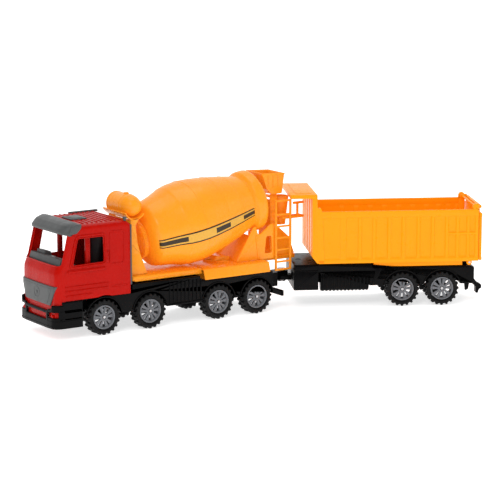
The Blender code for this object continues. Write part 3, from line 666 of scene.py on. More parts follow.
def skins(outer, inner):
    """A closed wall between two open (rows, columns, 3) sheets."""
    rows, columns = outer.shape[:2]
    index = np.arange(rows * columns).reshape(rows, columns)
    quads = np.stack([index[:-1, :-1], index[:-1, 1:], index[1:, 1:], index[1:, :-1]], -1)
    quads = quads.reshape(-1, 4)
    rim_line = np.concatenate([index[0], index[1:, -1], index[-1, -2::-1], index[-2:0:-1, 0]])
    wall = np.stack([rim_line, rim_line + index.size, np.roll(rim_line, -1) + index.size,
                     np.roll(rim_line, -1)], 1)
    faces = [*quads.tolist(), *(quads[:, ::-1] + index.size).tolist(), *wall.tolist()]
    return np.concatenate([outer.reshape(-1, 3), inner.reshape(-1, 3)]), faces


def roof_height(x_share, y_share):
    """A flat dome: 1 in the middle, 0 at the edges, with tight superellipse shoulders."""
    side = (1.0 - np.abs(y_share) ** 9) ** (1.0 / 3.5)
    front = (1.0 - np.clip(1.0 - x_share * 5.2, 0.0, 1.0) ** 2.2) ** (1.0 / 2.2)
    rear = (1.0 - np.clip(1.0 - (1.0 - x_share) * 14.0, 0.0, 1.0) ** 2.2) ** (1.0 / 2.2)
    return side * front * rear


def roof_sheet(depth):
    """The roof over its bowed plan, depth inside its skin."""
    u = np.sin(np.linspace(-math.pi / 2, math.pi / 2, 49))[None]
    share = (0.5 + 0.5 * np.sin(np.linspace(-math.pi / 2, math.pi / 2, 41)))[:, None]
    y = u * (CAB_WIDE - depth)
    nose = front_at(ROOF_EDGE) + bow_at(u * CAB_WIDE) + depth
    x = nose + (CAB_BACK - nose) * share
    z = ROOF_EDGE - depth * 0.6 + (ROOF_RISE - depth * 0.4) * roof_height(share, u)
    return np.stack([x, y + 0.0 * x, z], -1)


WINDSCREEN = [(-46.4, 98.0), (46.4, 98.0), (46.0, 141.0), (-46.0, 141.0)]
DOOR_WINDOW = [(-359.5, 97.5), (-312.0, 98.5), (-313.0, 133.2), (-351.5, 133.2)]
cab = [nose_wall(), side_wall(-1.0), side_wall(1.0), skins(roof_sheet(0.0), roof_sheet(WALL)),
       soft([(CAB_BACK - 2.0, -44.0), (CAB_BACK - 2.0, 44.0), (CAB_BACK + 0.0, 47.6),
             (CAB_BACK + 0.0, -47.6)], SILL, ROOF_EDGE + 3.0, "z", 0.3, 0.3)]
piece("cab_body", cab, RED, "truck", ["cab_shell"], sharp=40.0)


def rim_ring(loop, across, radius):
    """A raised rim: a round section carried round a closed loop of points."""
    loop = np.asarray(loop, float)
    ahead = np.roll(loop, -1, 0) - np.roll(loop, 1, 0)
    ahead /= np.linalg.norm(ahead, axis=1, keepdims=True)
    out = np.cross(ahead, across)
    out /= np.linalg.norm(out, axis=1, keepdims=True)
    a = np.linspace(0.0, 2.0 * math.pi, 10, endpoint=False)
    points = (loop[:, None] + radius * (np.cos(a)[None, :, None] * out[:, None]
                                        + np.sin(a)[None, :, None] * np.array(across)))
    return grid(points, round_v=True)


def on_side(outline, side, corner=3.0):
    """A flat (x, z) outline laid on the cab's side."""
    flat = eased(outline, corner, 6)
    return np.stack([flat[:, 0], np.full(len(flat), side * CAB_WIDE), flat[:, 1]], 1)


def ridge(side, x, z, height, proud):
    """A moulded ridge along the side: a flat top that slopes out, rounded underneath."""
    root, skin = side * (CAB_WIDE - 1.0), side * (CAB_WIDE + 0.2)
    outline = [(root, z), (root, z + height), (skin, z + height),
               (side * (CAB_WIDE + proud), z + height * 0.45),
               (side * (CAB_WIDE + proud * 0.8), z)]
    return soft(outline, x[0], x[1], "x", 0.7, 0.5)


DOOR_FRAME = [(-363.5, 95.0), (-309.5, 96.2), (-310.8, 136.0), (-353.5, 136.0)]
QUARTER = [(-304.0, 95.0), (-283.0, 95.0), (-283.0, 138.0), (-304.0, 138.0)]
FLAP = [(-301.6, 63.4), (-278.4, 63.4), (-278.4, 66.0), (-301.6, 66.0)]
WAIST = ((69.5, -306.0, 1.4), (63.8, -306.0, 1.4), (57.6, -330.0, 1.2))
trims = []
for side in (-1.0, 1.0):
    for outline, corner, radius in ((DOOR_FRAME, 5.0, 1.4), (DOOR_WINDOW, 3.5, 0.8),
                                    (QUARTER, 3.0, 0.7), (FLAP, 1.0, 0.35)):
        trims.append(rim_ring(on_side(outline, side, corner), (0.0, 1.0, 0.0), radius))
    # the belt ledge, the door handle, the waist ridges and the rear edge
    trims.append(ridge(side, (-366.5, -311.0), 88.6, 4.2, 2.2))
    trims.append(block((-309.6, -305.4), between(side, 47.0, 50.2), (98.0, 113.0), 1.4))
    for z, reach, proud in WAIST:
        trims.append(ridge(side, (-370.5, reach), z, 2.2, proud))
    trims.append(block((-275.6, -272.9), between(side, 46.5, 48.3), (52.5, 143.0), 0.8))
# the windscreen's rim, nine ribs on the roof and two red posts that stand inside the cab
flat = along_loop(eased(WINDSCREEN, 3.0, 6), 90)
trims.append(rim_ring(on_front(np.stack([0.0 * flat[:, 0], flat[:, 0], flat[:, 1]], 1)),
                      (1.0, 0.0, 0.25), 0.8))
for x in np.linspace(-338.0, -282.0, 9):
    trims.append(block((x - 0.9, x + 0.9), (-39.0, 39.0), (149.4, 151.3), 0.7))
trims += both(lambda side: block((-335.0, -328.0), between(side, 35.0, 40.0), (70.0, 146.0),
                                 1.6))
piece("cab_trims", trims, RED, "truck")

# Grey cab fittings: the sun visor wraps the roof's front edge, with a hatch, a side rail
# and a knob on the roof, and the grille is two stacked plates with a ring round a plain round
# boss.
GREY = moulded("fitting_grey", "grey_plastic", (0.085, 0.088, 0.088), 0.38, shift=0.06,
               shine=0.2)


def visor_bend(points):
    """The front edge falls back at its ends like the cab's nose; the rear edge does not."""
    bent = points.copy()
    wide = np.abs(points[:, 1]) / 47.0
    fore = np.clip((-350.0 - points[:, 0]) / 24.0, 0.0, 1.0)
    bent[:, 0] += (1.0 * wide ** 2 + 9.0 * wide ** 10) * fore
    bent[:, 2] += 2.6 * np.clip((147.0 - points[:, 2]) / 10.0, 0.0, 1.0) - 2.2 * wide ** 12
    return bent


visor = [(-374.6, 136.6), (-374.4, 141.0), (-372.0, 145.5), (-367.0, 150.2), (-361.0, 152.2),
         (-350.0, 153.2), (-346.5, 151.8), (-347.0, 150.2), (-361.0, 148.7), (-367.2, 143.0),
         (-371.6, 137.0)]
visor_shapes = [soft(visor, -48.3, 48.3, "y", 1.4, 1.0, 40, visor_bend)]
visor_end = [(-373.6, 140.6), (-371.8, 145.2), (-366.6, 149.8), (-361.0, 151.4),
             (-349.0, 151.6), (-352.0, 146.0), (-360.0, 141.0), (-366.0, 139.6)]
visor_flank = [(-363.0, 138.6), (-363.2, 143.5), (-359.6, 149.0), (-352.0, 152.0),
               (-345.5, 151.6), (-346.0, 146.0), (-353.0, 139.6)]
visor_shapes += both(lambda side: soft(visor_flank, *between(side, 44.0, 49.2), "y", 1.2, 1.6))
visor_shapes += both(lambda side: soft(visor_end, *between(side, 46.2, 48.3), "y", 1.0, 1.6,
                                       4, visor_bend))
piece("sun_visor", visor_shapes, GREY, "truck", ["roof_visor"])
piece("hatch_lid", [soft([(-341.0, -12.0), (-317.0, -12.0), (-317.0, 15.0), (-341.0, 15.0)],
                         150.2, 152.4, "z", 0.8, 2.0),
                    soft([(-337.0, -8.0), (-321.0, -8.0), (-321.0, 11.0), (-337.0, 11.0)],
                         151.9, 152.9, "z", 0.5, 1.5)], GREY, "truck", ["roof_hatch"])
piece("roof_side_rail", [block((-316.5, -272.5), (37.6, 42.4), (149.6, 152.4), 1.2)], GREY,
      "truck", ["roof_rail"])


def round_bar(centre, radius, start, stop, along="z", count=28, edge=0.5):
    """A turned stub with rolled rims."""
    a = np.linspace(0.0, 2.0 * math.pi, count, endpoint=False)
    circle = np.stack([centre[0] + radius * np.cos(a), centre[1] + radius * np.sin(a)], 1)
    return soft(circle, start, stop, along, edge, 0.0)


piece("roof_knob_cap", [round_bar((-278.5, -43.5), 1.9, 149.0, 152.6, edge=0.3),
                        round_bar((-278.5, -43.5), 2.7, 151.6, 154.6, edge=1.2)], GREY,
      "truck", ["roof_knob"])


def fan(outline, start, stop, columns, rows, edge):
    """A plate over a trapezoid, laid on the bow, with a rolled border.

    outline gives half widths at its foot and top: (half, z), (half, z). The face falls
    back near its border along a quarter circle.
    """
    (half_low, z_low), (half_high, z_high) = outline
    v = 0.5 - 0.5 * np.cos(np.linspace(0.0, 1.0, rows)[:, None] * math.pi)
    u = np.sin(np.linspace(-math.pi / 2, math.pi / 2, columns))[None]
    half = half_low + (half_high - half_low) * v
    y, z = u * half, z_low + (z_high - z_low) * v + 0.0 * u
    near = np.minimum(np.minimum(v, 1.0 - v) * (z_high - z_low), (1.0 - np.abs(u)) * half)
    roll = edge * (1.0 - np.sqrt(1.0 - (1.0 - np.clip(near / edge, 0.0, 1.0)) ** 2))
    face = on_front(np.stack([start + roll, y, z], -1))
    return skins(face, on_front(np.stack([np.full_like(y, stop), y, z], -1)))


def front_ring(radius, size, z):
    """A round moulding on the nose."""
    a = np.linspace(0.0, 2.0 * math.pi, 48, endpoint=False)
    flat = np.stack([np.full_like(a, -1.8), radius * np.cos(a), z + radius * np.sin(a)], 1)
    return rim_ring(on_front(flat), (1.0, 0.0, 0.0), size)


grille_shapes = [fan(((33.5, 45.8), (45.6, 71.8)), -1.9, -0.1, 48, 16, 1.0),
                 fan(((28.0, 48.6), (37.6, 69.0)), -2.3, -1.0, 48, 14, 0.5)]
grille_shapes.append(front_ring(7.0, 0.9, 59.5))
grille_shapes.append(round_bar((0.0, 59.5), 2.2, -388.0, -386.0, "x", 32, 0.8))
piece("plain_grille", grille_shapes, GREY, "truck", ["grille"])

# Bumper. A black moulding wraps the nose under the grille, with upright horns beside it
# and three windows that show the red lamp bar behind.
BUMPER_PLAN = [(-388.9, 0.0), (-388.6, 30.0), (-387.6, 42.0), (-385.0, 46.4), (-380.6, 48.9),
               (-374.0, 49.8), (-345.6, 49.8)]


def mirrored(half):
    """A half plan with its mirror image, from right to left."""
    return [(x, -y) for x, y in reversed(half[1:])] + list(half)


plan_line = np.array(mirrored(BUMPER_PLAN))
plan_steps = np.linalg.norm(np.diff(plan_line, axis=0), axis=1)
plan_far = np.concatenate([[0.0], np.cumsum(plan_steps)])
plan_far -= plan_far[-1] / 2.0
PLAN_END, PLAN_STEP = plan_far[-1], 1.5


def on_plan(s):
    """The plan's x and y a length s round it from the middle."""
    return np.interp(s, plan_far, plan_line[:, 0]), np.interp(s, plan_far, plan_line[:, 1])


def wrapped(s, z, depth):
    """A point a length s round the bumper's plan from its middle, depth inside it."""
    x, y = on_plan(s)
    (x_back, y_back), (x_on, y_on) = on_plan(s - PLAN_STEP), on_plan(s + PLAN_STEP)
    dx, dy = x_on - x_back, y_on - y_back
    far = np.maximum(np.hypot(dx, dy), 1e-9)
    return np.stack([x + depth * dy / far, y - depth * dx / far, z + 0.0 * x], -1)


def wrap_panel(low_edge, high_edge, z_low, z_high, proud=0.0, deep=2.2, edge=0.9):
    """A panel round the bumper between two pairs of lengths, with rolled borders."""
    columns = max(8, int((low_edge[1] - low_edge[0]) / 2.0))
    v = (0.5 - 0.5 * np.cos(np.linspace(0.0, math.pi, 12)))[:, None]
    u = (0.5 - 0.5 * np.cos(np.linspace(0.0, math.pi, 9)))
    u = np.unique(np.concatenate([u, np.linspace(0.0, 1.0, columns)]))[None]
    left = low_edge[0] + (high_edge[0] - low_edge[0]) * v
    right = low_edge[1] + (high_edge[1] - low_edge[1]) * v
    s, z = left + (right - left) * u, z_low + (z_high - z_low) * v + 0.0 * u
    near = np.minimum(np.minimum(v, 1.0 - v) * (z_high - z_low),
                      np.minimum(u, 1.0 - u) * (right - left))
    roll = edge * (1.0 - np.sqrt(1.0 - (1.0 - np.clip(near / edge, 0.0, 1.0)) ** 2))
    return skins(wrapped(s, z, roll - proud), wrapped(s, z, deep + 0.0 * s))


def upright_panel(start, stop, z_low, z_high, proud=0.0):
    """A bumper panel whose two ends stand upright."""
    return wrap_panel((start, stop), (start, stop), z_low, z_high, proud)


# the lower bar, the middle bar and a raised strip on each
bumper = [upright_panel(-PLAN_END, PLAN_END, 16.0, 27.6),
          upright_panel(-33.0, 33.0, 35.4, 39.4),
          upright_panel(-44.0, 44.0, 17.6, 20.2, 0.5),
          upright_panel(-26.0, 26.0, 35.9, 38.6, 0.5)]
# the posts between the lamps, the bars over and under the side lamps, horns and end plates
for start, stop in ((-31.2, -26.8), (26.8, 31.2), (-PLAN_END, -51.5), (51.5, PLAN_END)):
    bumper.append(upright_panel(start, stop, 26.6, 40.0))
for start, stop in ((30.0, PLAN_END), (-PLAN_END, -30.0)):
    bumper += [upright_panel(start, stop, 26.6, 30.8), upright_panel(start, stop, 38.0, 41.6)]
bumper += [wrap_panel((36.0, 60.0), (41.0, 60.0), 38.6, 47.5),
           wrap_panel((-60.0, -36.0), (-60.0, -41.0), 38.6, 47.5),
           upright_panel(57.0, PLAN_END, 35.6, 51.4),
           upright_panel(-PLAN_END, -57.0, 35.6, 51.4)]
piece("bumper_moulding", bumper, BLACK, "truck", ["front_bumper"])
lamp_plan = mirrored([(-385.3, 0.0), (-384.8, 30.0), (-383.4, 42.4), (-380.4, 45.0),
                      (-374.0, 46.8)])
lamps = [soft(lamp_plan, 18.5, 41.0, "z", 0.4, 0.6)]
for y in (-38.5, 38.5):
    lamps.append(round_bar((y, 31.6), 3.2, -386.4, -383.0, "x", 28, 1.1))
piece("lamp_bar", lamps, RED, "truck", ["bumper_lamps"])

# Cab inside. A grey dashboard with an instrument pod, two dark seats on one box, and a
# grey panel that closes the cab's back.
DARK = moulded("inside_dark", "dark_grey_plastic", (0.035, 0.036, 0.038), 0.5, shift=0.2,
               grain=0.5)
dash = [soft([(-375.6, 84.0), (-350.0, 84.0), (-350.0, 96.0), (-358.0, 103.0),
              (-372.6, 106.5), (-375.8, 98.0)], -41.6, 41.6, "y", 0.8, 2.0),
        soft([(-369.0, 100.0), (-356.0, 100.0), (-358.0, 108.0), (-368.0, 110.0)], 12.0, 34.0,
             "y", 1.2, 2.0)]
piece("dashboard_top", dash, GREY, "truck", ["dashboard"])
seats = [block((-322.0, -285.0), (-40.0, 40.0), (52.3, 75.6), 1.5)]
for y in (-39.0, 7.0):
    seats.append(soft([(-296.0, 70.0), (-285.4, 70.0), (-279.4, 119.0), (-281.5, 122.0),
                       (-285.6, 121.0)], y, y + 32.0, "y", 2.5, 2.5))
    seats.append(block((-321.5, -297.0), (y, y + 32.0), (74.0, 78.6), 2.0))
piece("seat_mouldings", seats, DARK, "truck", ["cab_seats"])
piece("back_wall", [block((-272.6, -270.0), (-47.4, 47.4), (63.5, 144.0), 0.6)], GREY,
      "truck", ["cab_back_panel"])

# Mixer deck. One orange moulding: a narrow floor behind the cab, a wider floor with a
# flared skirt over the rear axles, a tail plate, and on top a toothed slewing disc with
# a wedge that stands under the drum.
# The orange carries a painted glow: emission in its own colour that lifts its shade.
ORANGE = moulded("mixer_orange", "orange_plastic", (0.90, 0.305, 0.012), 0.26, shift=0.06,
                 grain=0.15, glow=0.13, shine=0.25)
DECK_Z = 71.0
DRUM_AXIS = joint("drum_spin")
FOOT = np.array(unstand(DRUM_AXIS["pos_m"], "truck"))
ALONG = np.array(DRUM_AXIS["axis"])
NEAR, UP = np.array([0.0, -1.0, 0.0]), np.array([-ALONG[2], 0.0, ALONG[0]])

deck = [block((-265.0, -152.0), (-40.0, 40.0), (65.4, DECK_Z), 1.2),
        block((-262.0, -157.0), (-41.0, 41.0), (64.6, 67.0), 0.7),
        block((-56.0, 12.0), (-16.0, 16.0), (65.0, DECK_Z), 1.2)]
flare = [(-45.8, DECK_Z), (-50.0, 57.0), (-47.4, 57.0), (-44.0, 68.4), (44.0, 68.4),
         (47.4, 57.0), (50.0, 57.0), (45.8, DECK_Z)]
deck.append(soft(flare, -157.5, -51.5, "x", 1.2, 1.4))
end_plate = [(-45.8, DECK_Z - 0.6), (-49.6, 57.6), (49.6, 57.6), (45.8, DECK_Z - 0.6)]
deck += [soft(end_plate, -157.5, -155.5, "x", 0.6, 1.2),
         soft(end_plate, -53.5, -51.5, "x", 0.6, 1.2)]


def toothed(radius, teeth, depth, height, centre, sweep, count):
    """A part disc with a flat-topped wave for a rim: a tanh of a sine, depth from top to root."""
    a = np.radians(np.linspace(sweep[0], sweep[1], count, endpoint=False))
    r = radius - depth * 0.5 + depth * 0.5 * np.tanh(4.0 * np.sin(teeth * a))
    return soft(np.stack([centre[0] + r * np.cos(a), centre[1] + r * np.sin(a)], 1),
                height[0], height[1], "z", 0.5, 0.0)


deck.append(toothed(26.4, 60, 1.2, (DECK_Z - 0.5, DECK_Z + 3.4), (-100.0, 0.0),
                    (99.0, 261.0), 400))
deck.append(round_bar((-100.5, 0.0), 12.0, DECK_Z, DECK_Z + 4.6, edge=0.8))
deck.append(soft([(-122.0, 73.0), (-118.0, 80.3), (-96.0, 77.8), (-96.0, 73.0)], -15.0, 15.0,
                 "y", 1.0, 1.4))
piece("deck_moulding", deck, ORANGE, "truck", ["mixer_deck"])

# Front support. Two thin cheeks with a bearing wall between them carry the drum's stub
# shaft, and a curved saddle for the water tank sits on their tops. Each cheek is cut
# into plates that lie edge on edge.
TANK_AT, TANK_R = np.array([-254.0, 0.0, 162.8]), 15.2
CHEEK_PLATES = (
    [(-261.0, 71.3), (-236.0, 71.3), (-247.0, 100.0), (-261.0, 100.0)],
    [(-261.0, 99.0), (-246.6, 99.0), (-251.0, 115.0), (-261.0, 115.0)],
    [(-261.0, 114.0), (-250.8, 114.0), (-254.0, 139.0), (-261.0, 139.0)],
    [(-261.0, 138.0), (-253.8, 138.0), (-248.0, 147.4), (-254.0, 147.6), (-261.0, 147.0)])
support = []
for outline in CHEEK_PLATES:
    support += both(lambda side: soft(outline, *between(side, 27.5, 30.0), "y", 0.5, 0.3))
support += [block((-261.0, -257.5), (-28.5, 28.5), (71.3, 145.5), 0.8),
            block((-258.5, -244.6), (-12.0, 12.0), (96.0, 126.0), 1.5)]


def saddle():
    """A trough under the tank: its eased section, swept from 205 to 325 degrees."""
    low_r, high_r, half = TANK_R + 0.3, TANK_R + 2.2, 30.0
    section = eased([(low_r, -half), (high_r, -half), (high_r, half), (low_r, half)], 0.6)
    a = np.radians(np.linspace(205.0, 325.0, 31))[:, None]
    r, y = section[:, 0][None], section[:, 1][None] + 0.0 * a
    return grid(np.stack([TANK_AT[0] + r * np.cos(a), y, TANK_AT[2] + r * np.sin(a)], -1))


support.append(saddle())
for y in (-18.0, 0.0, 18.0):
    support.append(soft([(-257.8, 73.0), (-246.0, 73.0), (-257.8, 96.0)], y - 0.9, y + 0.9, "y",
                        0.4, 0.6))
piece("front_support", support, ORANGE, "truck", ["drum_front_support"])


def turned(profile, centre, axis, first, second, count=96, ring=False, ease=0.8):
    """A surface of revolution: centre + s axis + r (cos a first + sin a second)."""
    line = eased(profile, ease, 5, closed=ring)
    a = np.linspace(0.0, 2.0 * math.pi, count, endpoint=False)[None, :, None]
    r, s = line[:, 0][:, None, None], line[:, 1][:, None, None]
    points = centre + s * axis + r * (np.cos(a) * first + np.sin(a) * second)
    return grid(points, round_v=ring)


# Water tank. A capsule that lies across the saddle, blunt at the far end and drawn in at
# the near end, with a filler boss and two straps.
EAST = np.array([1.0, 0.0, 0.0])
SOUTH, SKY = np.array([0.0, -1.0, 0.0]), np.array([0.0, 0.0, 1.0])
t = np.radians(np.array([88.0, 78.0, 66.0, 54.0, 42.0, 30.0, 18.0, 8.0]))
tank_line = [*zip(TANK_R * np.cos(t), -17.0 - 16.0 * np.sin(t)), (TANK_R, 12.0), (14.6, 18.0),
             (12.6, 24.5), (9.4, 28.6), (6.0, 31.0), (0.3, 32.0)]
tank = [turned(tank_line, TANK_AT, SOUTH, EAST, SKY, 80, ease=1.5)]
for s in (-20.0, 10.0):
    tank.append(turned([(TANK_R - 0.5, s - 1.6), (TANK_R + 0.3, s - 1.4),
                        (TANK_R + 0.3, s + 1.4), (TANK_R - 0.5, s + 1.6)],
                       TANK_AT, SOUTH, EAST, SKY, 80, ring=True, ease=0.4))
tank.append(turned([(0.1, 14.0), (3.6, 14.0), (3.6, 16.4), (3.0, 17.0), (0.1, 17.2)],
                   TANK_AT + np.array([0.0, -6.0, 0.0]), SKY, EAST, SOUTH, 32, ease=0.4))
piece("tank_capsule", tank, ORANGE, "truck", ["water_tank"])

# Drum. Blown in one piece with a wall of about 2 mm; fine seams ring it, the rear ends in
# a rolled flange round the open mouth, and a printed band runs along its right side.
DRUM_OUT = [(30.2, 177.8), (37.6, 176.4), (42.8, 172.0), (42.8, 159.4), (39.4, 156.4),
            (38.4, 155.0), (44.6, 131.6), (45.3, 129.6), (51.1, 105.0), (55.2, 82.0),
            (56.8, 66.0), (56.2, 50.0), (54.2, 39.6), (53.2, 37.4), (48.8, 24.0), (43.4, 0.0),
            (36.0, -5.8), (24.0, -9.8), (14.0, -10.3), (13.6, -18.3), (4.0, -18.5),
            (3.8, -30.8), (0.2, -31.0)]
DRUM_IN = [(0.2, -7.0), (30.0, -6.0), (41.0, 2.0), (51.0, 39.0), (54.4, 60.0), (53.0, 80.0),
           (42.3, 130.0), (36.0, 155.0), (30.2, 168.0)]
drum_wall = turned(DRUM_IN + DRUM_OUT, FOOT, ALONG, NEAR, UP, 128, ease=3.0)
drum = [drum_wall]


def drum_radius(s):
    """The drum's outer radius at a station along its axis."""
    line = np.array(DRUM_OUT[::-1])
    return np.interp(s, line[:, 1], line[:, 0])


for s in (66.0, 105.0, 131.0, 155.6):
    r = float(drum_radius(s))
    drum.append(turned([(r - 0.6, s - 0.9), (r + 0.28, s - 0.5), (r + 0.28, s + 0.5),
                        (r - 0.6, s + 0.9)], FOOT, ALONG, NEAR, UP, 128, ring=True, ease=0.3))
piece("drum_wall", drum, ORANGE, "drum", ["drum_shell"], sharp=50.0)


def gear_points(teeth, root, tip):
    """A gear's outline: the radius steps between root and tip along a steep sine."""
    a = np.linspace(0.0, 2.0 * math.pi, teeth * 10, endpoint=False)
    r = (root + tip) / 2.0 + (tip - root) / 2.0 * np.tanh(5.0 * np.sin(teeth * a))
    return r * np.cos(a), r * np.sin(a)


def gear_ring(teeth, root, tip, bore, start, stop):
    """A toothed ring about the drum's axis: outer wave and round bore, four rings deep."""
    wide, tall = gear_points(teeth, root, tip)
    a = np.arctan2(tall, wide)
    rows = [(1.0, start + 0.4), (1.0, stop - 0.4), (0.985, stop), (0.0, stop), (0.0, start),
            (0.985, start)]
    out = []
    for share, s in rows:
        x = wide * share if share else bore * np.cos(a)
        y = tall * share if share else bore * np.sin(a)
        out.append(FOOT + s * ALONG + x[:, None] * NEAR + y[:, None] * UP)
    return grid(np.stack(out), round_v=True)


piece("ring_gear", [gear_ring(72, 26.6, 28.0, 14.2, -17.4, -11.5),
                    turned([(15.0, -11.6), (25.0, -11.6), (25.0, -10.6), (15.0, -10.6)], FOOT,
                           ALONG, NEAR, UP, 96, ring=True, ease=0.3)], ORANGE, "drum",
      ["drum_ring_gear"])


def band_finish():
    """The printed band: dark rules and blocks on gold, set out on the band's own UV map.

    Across the band run rule, gap, field, gap and rule; along it the field is dark or gold.
    """
    made = moulded("printed_band", "orange_plastic", (0.5, 0.3, 0.05), 0.3, shift=0.0,
                   grain=0.15)
    nodes, links = made.node_tree.nodes, made.node_tree.links
    shader = nodes["Principled BSDF"]
    ink, gold = (0.03, 0.018, 0.006, 1.0), (0.72, 0.38, 0.045, 1.0)

    def ramp(stops, source):
        """A stepped ramp on one coordinate."""
        made_ramp = nodes.new("ShaderNodeValToRGB")
        made_ramp.color_ramp.interpolation = "CONSTANT"
        elements = made_ramp.color_ramp.elements
        elements[0].position, elements[0].color = stops[0]
        elements[1].position, elements[1].color = stops[1]
        for position, colour in stops[2:]:
            elements.new(position).color = colour
        links.new(source, made_ramp.inputs["Fac"])
        return made_ramp.outputs["Color"]

    chart = nodes.new("ShaderNodeUVMap")
    chart.uv_map = "band"
    axes = nodes.new("ShaderNodeSeparateXYZ")
    links.new(chart.outputs["UV"], axes.inputs["Vector"])
    black = (0.0, 0.0, 0.0, 1.0)
    rules = ramp([(0.0, ink), (0.12, gold), (0.88, ink)], axes.outputs["Y"])
    field = ramp([(0.0, ink), (0.245, gold), (0.523, ink), (0.688, gold), (0.855, ink)],
                 axes.outputs["X"])
    inside = ramp([(0.0, black), (0.27, WHITE), (0.73, black)], axes.outputs["Y"])
    mix = nodes.new("ShaderNodeMix")
    mix.data_type = "RGBA"
    links.new(inside, mix.inputs["Factor"])
    links.new(rules, mix.inputs["A"])
    links.new(field, mix.inputs["B"])
    links.new(mix.outputs["Result"], shader.inputs["Base Color"])
    return made


def printed_band(start, stop, low_angle, high_angle):
    """A film on the drum between two stations and two angles.

    Its outer skin stands 0.4 mm over the drum's radius, clear of the seams, and its inner
    skin lies 0.4 mm under it.
    """
    s = np.linspace(start, stop, 70)[:, None]
    a = np.radians(np.linspace(low_angle, high_angle, 17))[None]
    shapes = []
    for lift in (BAND_LIFT, -BAND_LIFT):
        r = (drum_radius(s) + lift + 0.0 * a)[..., None]
        shapes.append(FOOT + (s + 0.0 * a)[..., None] * ALONG
                      + r * (np.cos(a)[..., None] * NEAR + np.sin(a)[..., None] * UP))
    points, faces = skins(*shapes)
    u = (s - start) / (stop - start) + 0.0 * a
    v = (a - a.min()) / (a.max() - a.min()) + 0.0 * s
    chart = np.tile(np.stack([u, v], -1).reshape(-1, 2), (2, 1))
    mesh = bpy.data.meshes.new("drum_band")
    mesh.from_pydata(stand(points, "truck").tolist(), [], faces)
    layer = mesh.uv_layers.new(name="band")
    corner = np.empty(len(mesh.loops), int)
    mesh.loops.foreach_get("vertex_index", corner)
    layer.data.foreach_set("uv", chart[corner].ravel())
    mesh.polygons.foreach_set("use_smooth", np.ones(len(mesh.polygons), bool))
    made = bpy.data.objects.new("drum_band", mesh)
    bpy.context.scene.collection.objects.link(made)
    mesh.flip_normals()
    finish = band_finish()
    mesh.materials.append(finish)
    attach(made, "drum")


BAND_LIFT = 0.4
printed_band(-3.0, 152.0, -17.0, -0.6)

# Rear support. Two pierced cheeks with a V cradle under the drum's neck, a sloping ramp
# between their front edges and a tie at the foot.
REAR = [(-95.0, 71.3), (-30.0, 71.3), (-32.5, 119.3), (-38.0, 119.3), (-56.0, 106.3),
        (-59.5, 107.8), (-62.5, 118.3), (-66.0, 118.3)]
WINDOW = [(-48.5, 79.0), (-36.0, 79.0), (-37.0, 103.0), (-45.5, 103.0)]
for side, hand in HANDS:
    piece(f"rear_cheek_{hand}", [soft(REAR, *between(side, 27.5, 30.0), "y", 0.6, 1.6)], ORANGE,
          "truck", ["drum_rear_support"] if hand == "right" else (),
          cuts=[soft(WINDOW, *between(side, 20.0, 36.0), "y", 0.2, 2.5)])
ties = [soft([(-92.0, 71.3), (-87.5, 71.3), (-63.5, 103.5), (-66.5, 105.0)], -28.0, 28.0, "y",
             0.6, 1.0),
        block((-44.0, -33.0), (-28.0, 28.0), (71.3, 76.0), 0.8)]
for side in (-1.0, 1.0):
    ties.append(soft([(-60.0, 72.0), (-57.0, 72.0), (-60.5, 106.0), (-63.5, 106.0)],
                     *between(side, 29.0, 31.0), "y", 0.6, 0.8))
piece("rear_ties", ties, ORANGE, "truck")

# Discharge end. A ribbed post between two fins carries the hopper, a round collector
# funnel stands behind it, and a ladder and a small railed platform hang on the right.
FIN = [(-29.0, 71.3), (11.5, 71.3), (6.0, 86.0), (1.0, 97.0), (-18.0, 113.5), (-18.0, 157.9),
       (-29.0, 157.9)]
post = both(lambda side: soft(FIN, *between(side, 12.5, 15.0), "y", 0.6, 1.4))
post += [soft([(-29.0, 71.3), (9.0, 71.3), (6.0, 76.0), (-29.0, 76.0)], -14.0, 14.0, "y",
              0.5, 0.8),
         block((-29.0, -27.2), (-14.0, 14.0), (98.0, 150.0), 0.5)]
for z in np.arange(104.0, 156.0, 7.0):
    post.append(block((-29.3, -19.0), (-14.6, 14.6), (z, z + 1.8), 0.5))
    post += both(lambda side: block((-28.4, -18.4), between(side, 14.4, 16.0), (z, z + 2.4), 0.6))
piece("discharge_post", post, ORANGE, "truck", ["discharge_frame"])

hopper_line = [(-46.0, 188.0), (-9.0, 186.0), (-13.0, 158.7), (-30.0, 158.7), (-38.0, 166.0)]
hopper_fore = [(-46.0, 188.0), (-43.6, 187.8), (-35.8, 167.2), (-28.6, 161.0), (-28.6, 158.7),
               (-30.0, 158.7), (-38.0, 166.0)]
hopper_aft = [(-9.0, 186.0), (-11.4, 186.2), (-15.4, 161.0), (-16.6, 160.6), (-16.6, 158.7),
              (-13.0, 158.7)]
bin_shapes = both(lambda side: soft(hopper_line, *between(side, 18.0, 20.0), "y", 0.5, 1.4))
bin_shapes += [soft(hopper_fore, -19.0, 19.0, "y", 0.3, 0.6),
               soft(hopper_aft, -19.0, 19.0, "y", 0.3, 0.6)]
bin_shapes += both(lambda side: block((-29.5, -15.5), between(side, 8.0, 19.0),
                                      (158.7, 161.0), 0.4))
for x in (-36.0, -28.0, -20.0):
    bin_shapes += both(lambda side: block((x - 0.7, x + 0.7), between(side, 19.4, 20.6),
                                          (168.0, 185.6), 0.5))
piece("hopper_bin", bin_shapes, ORANGE, "truck", ["hopper"])
hopper_mouth = [(-45.6, -19.6, 187.8), (-45.6, 19.6, 187.8), (-9.4, 19.6, 185.8),
                (-9.4, -19.6, 185.8)]
piece("hopper_lip", [rim_ring(hopper_mouth, (0.054, 0.0, 0.9985), 1.2)], ORANGE, "truck")
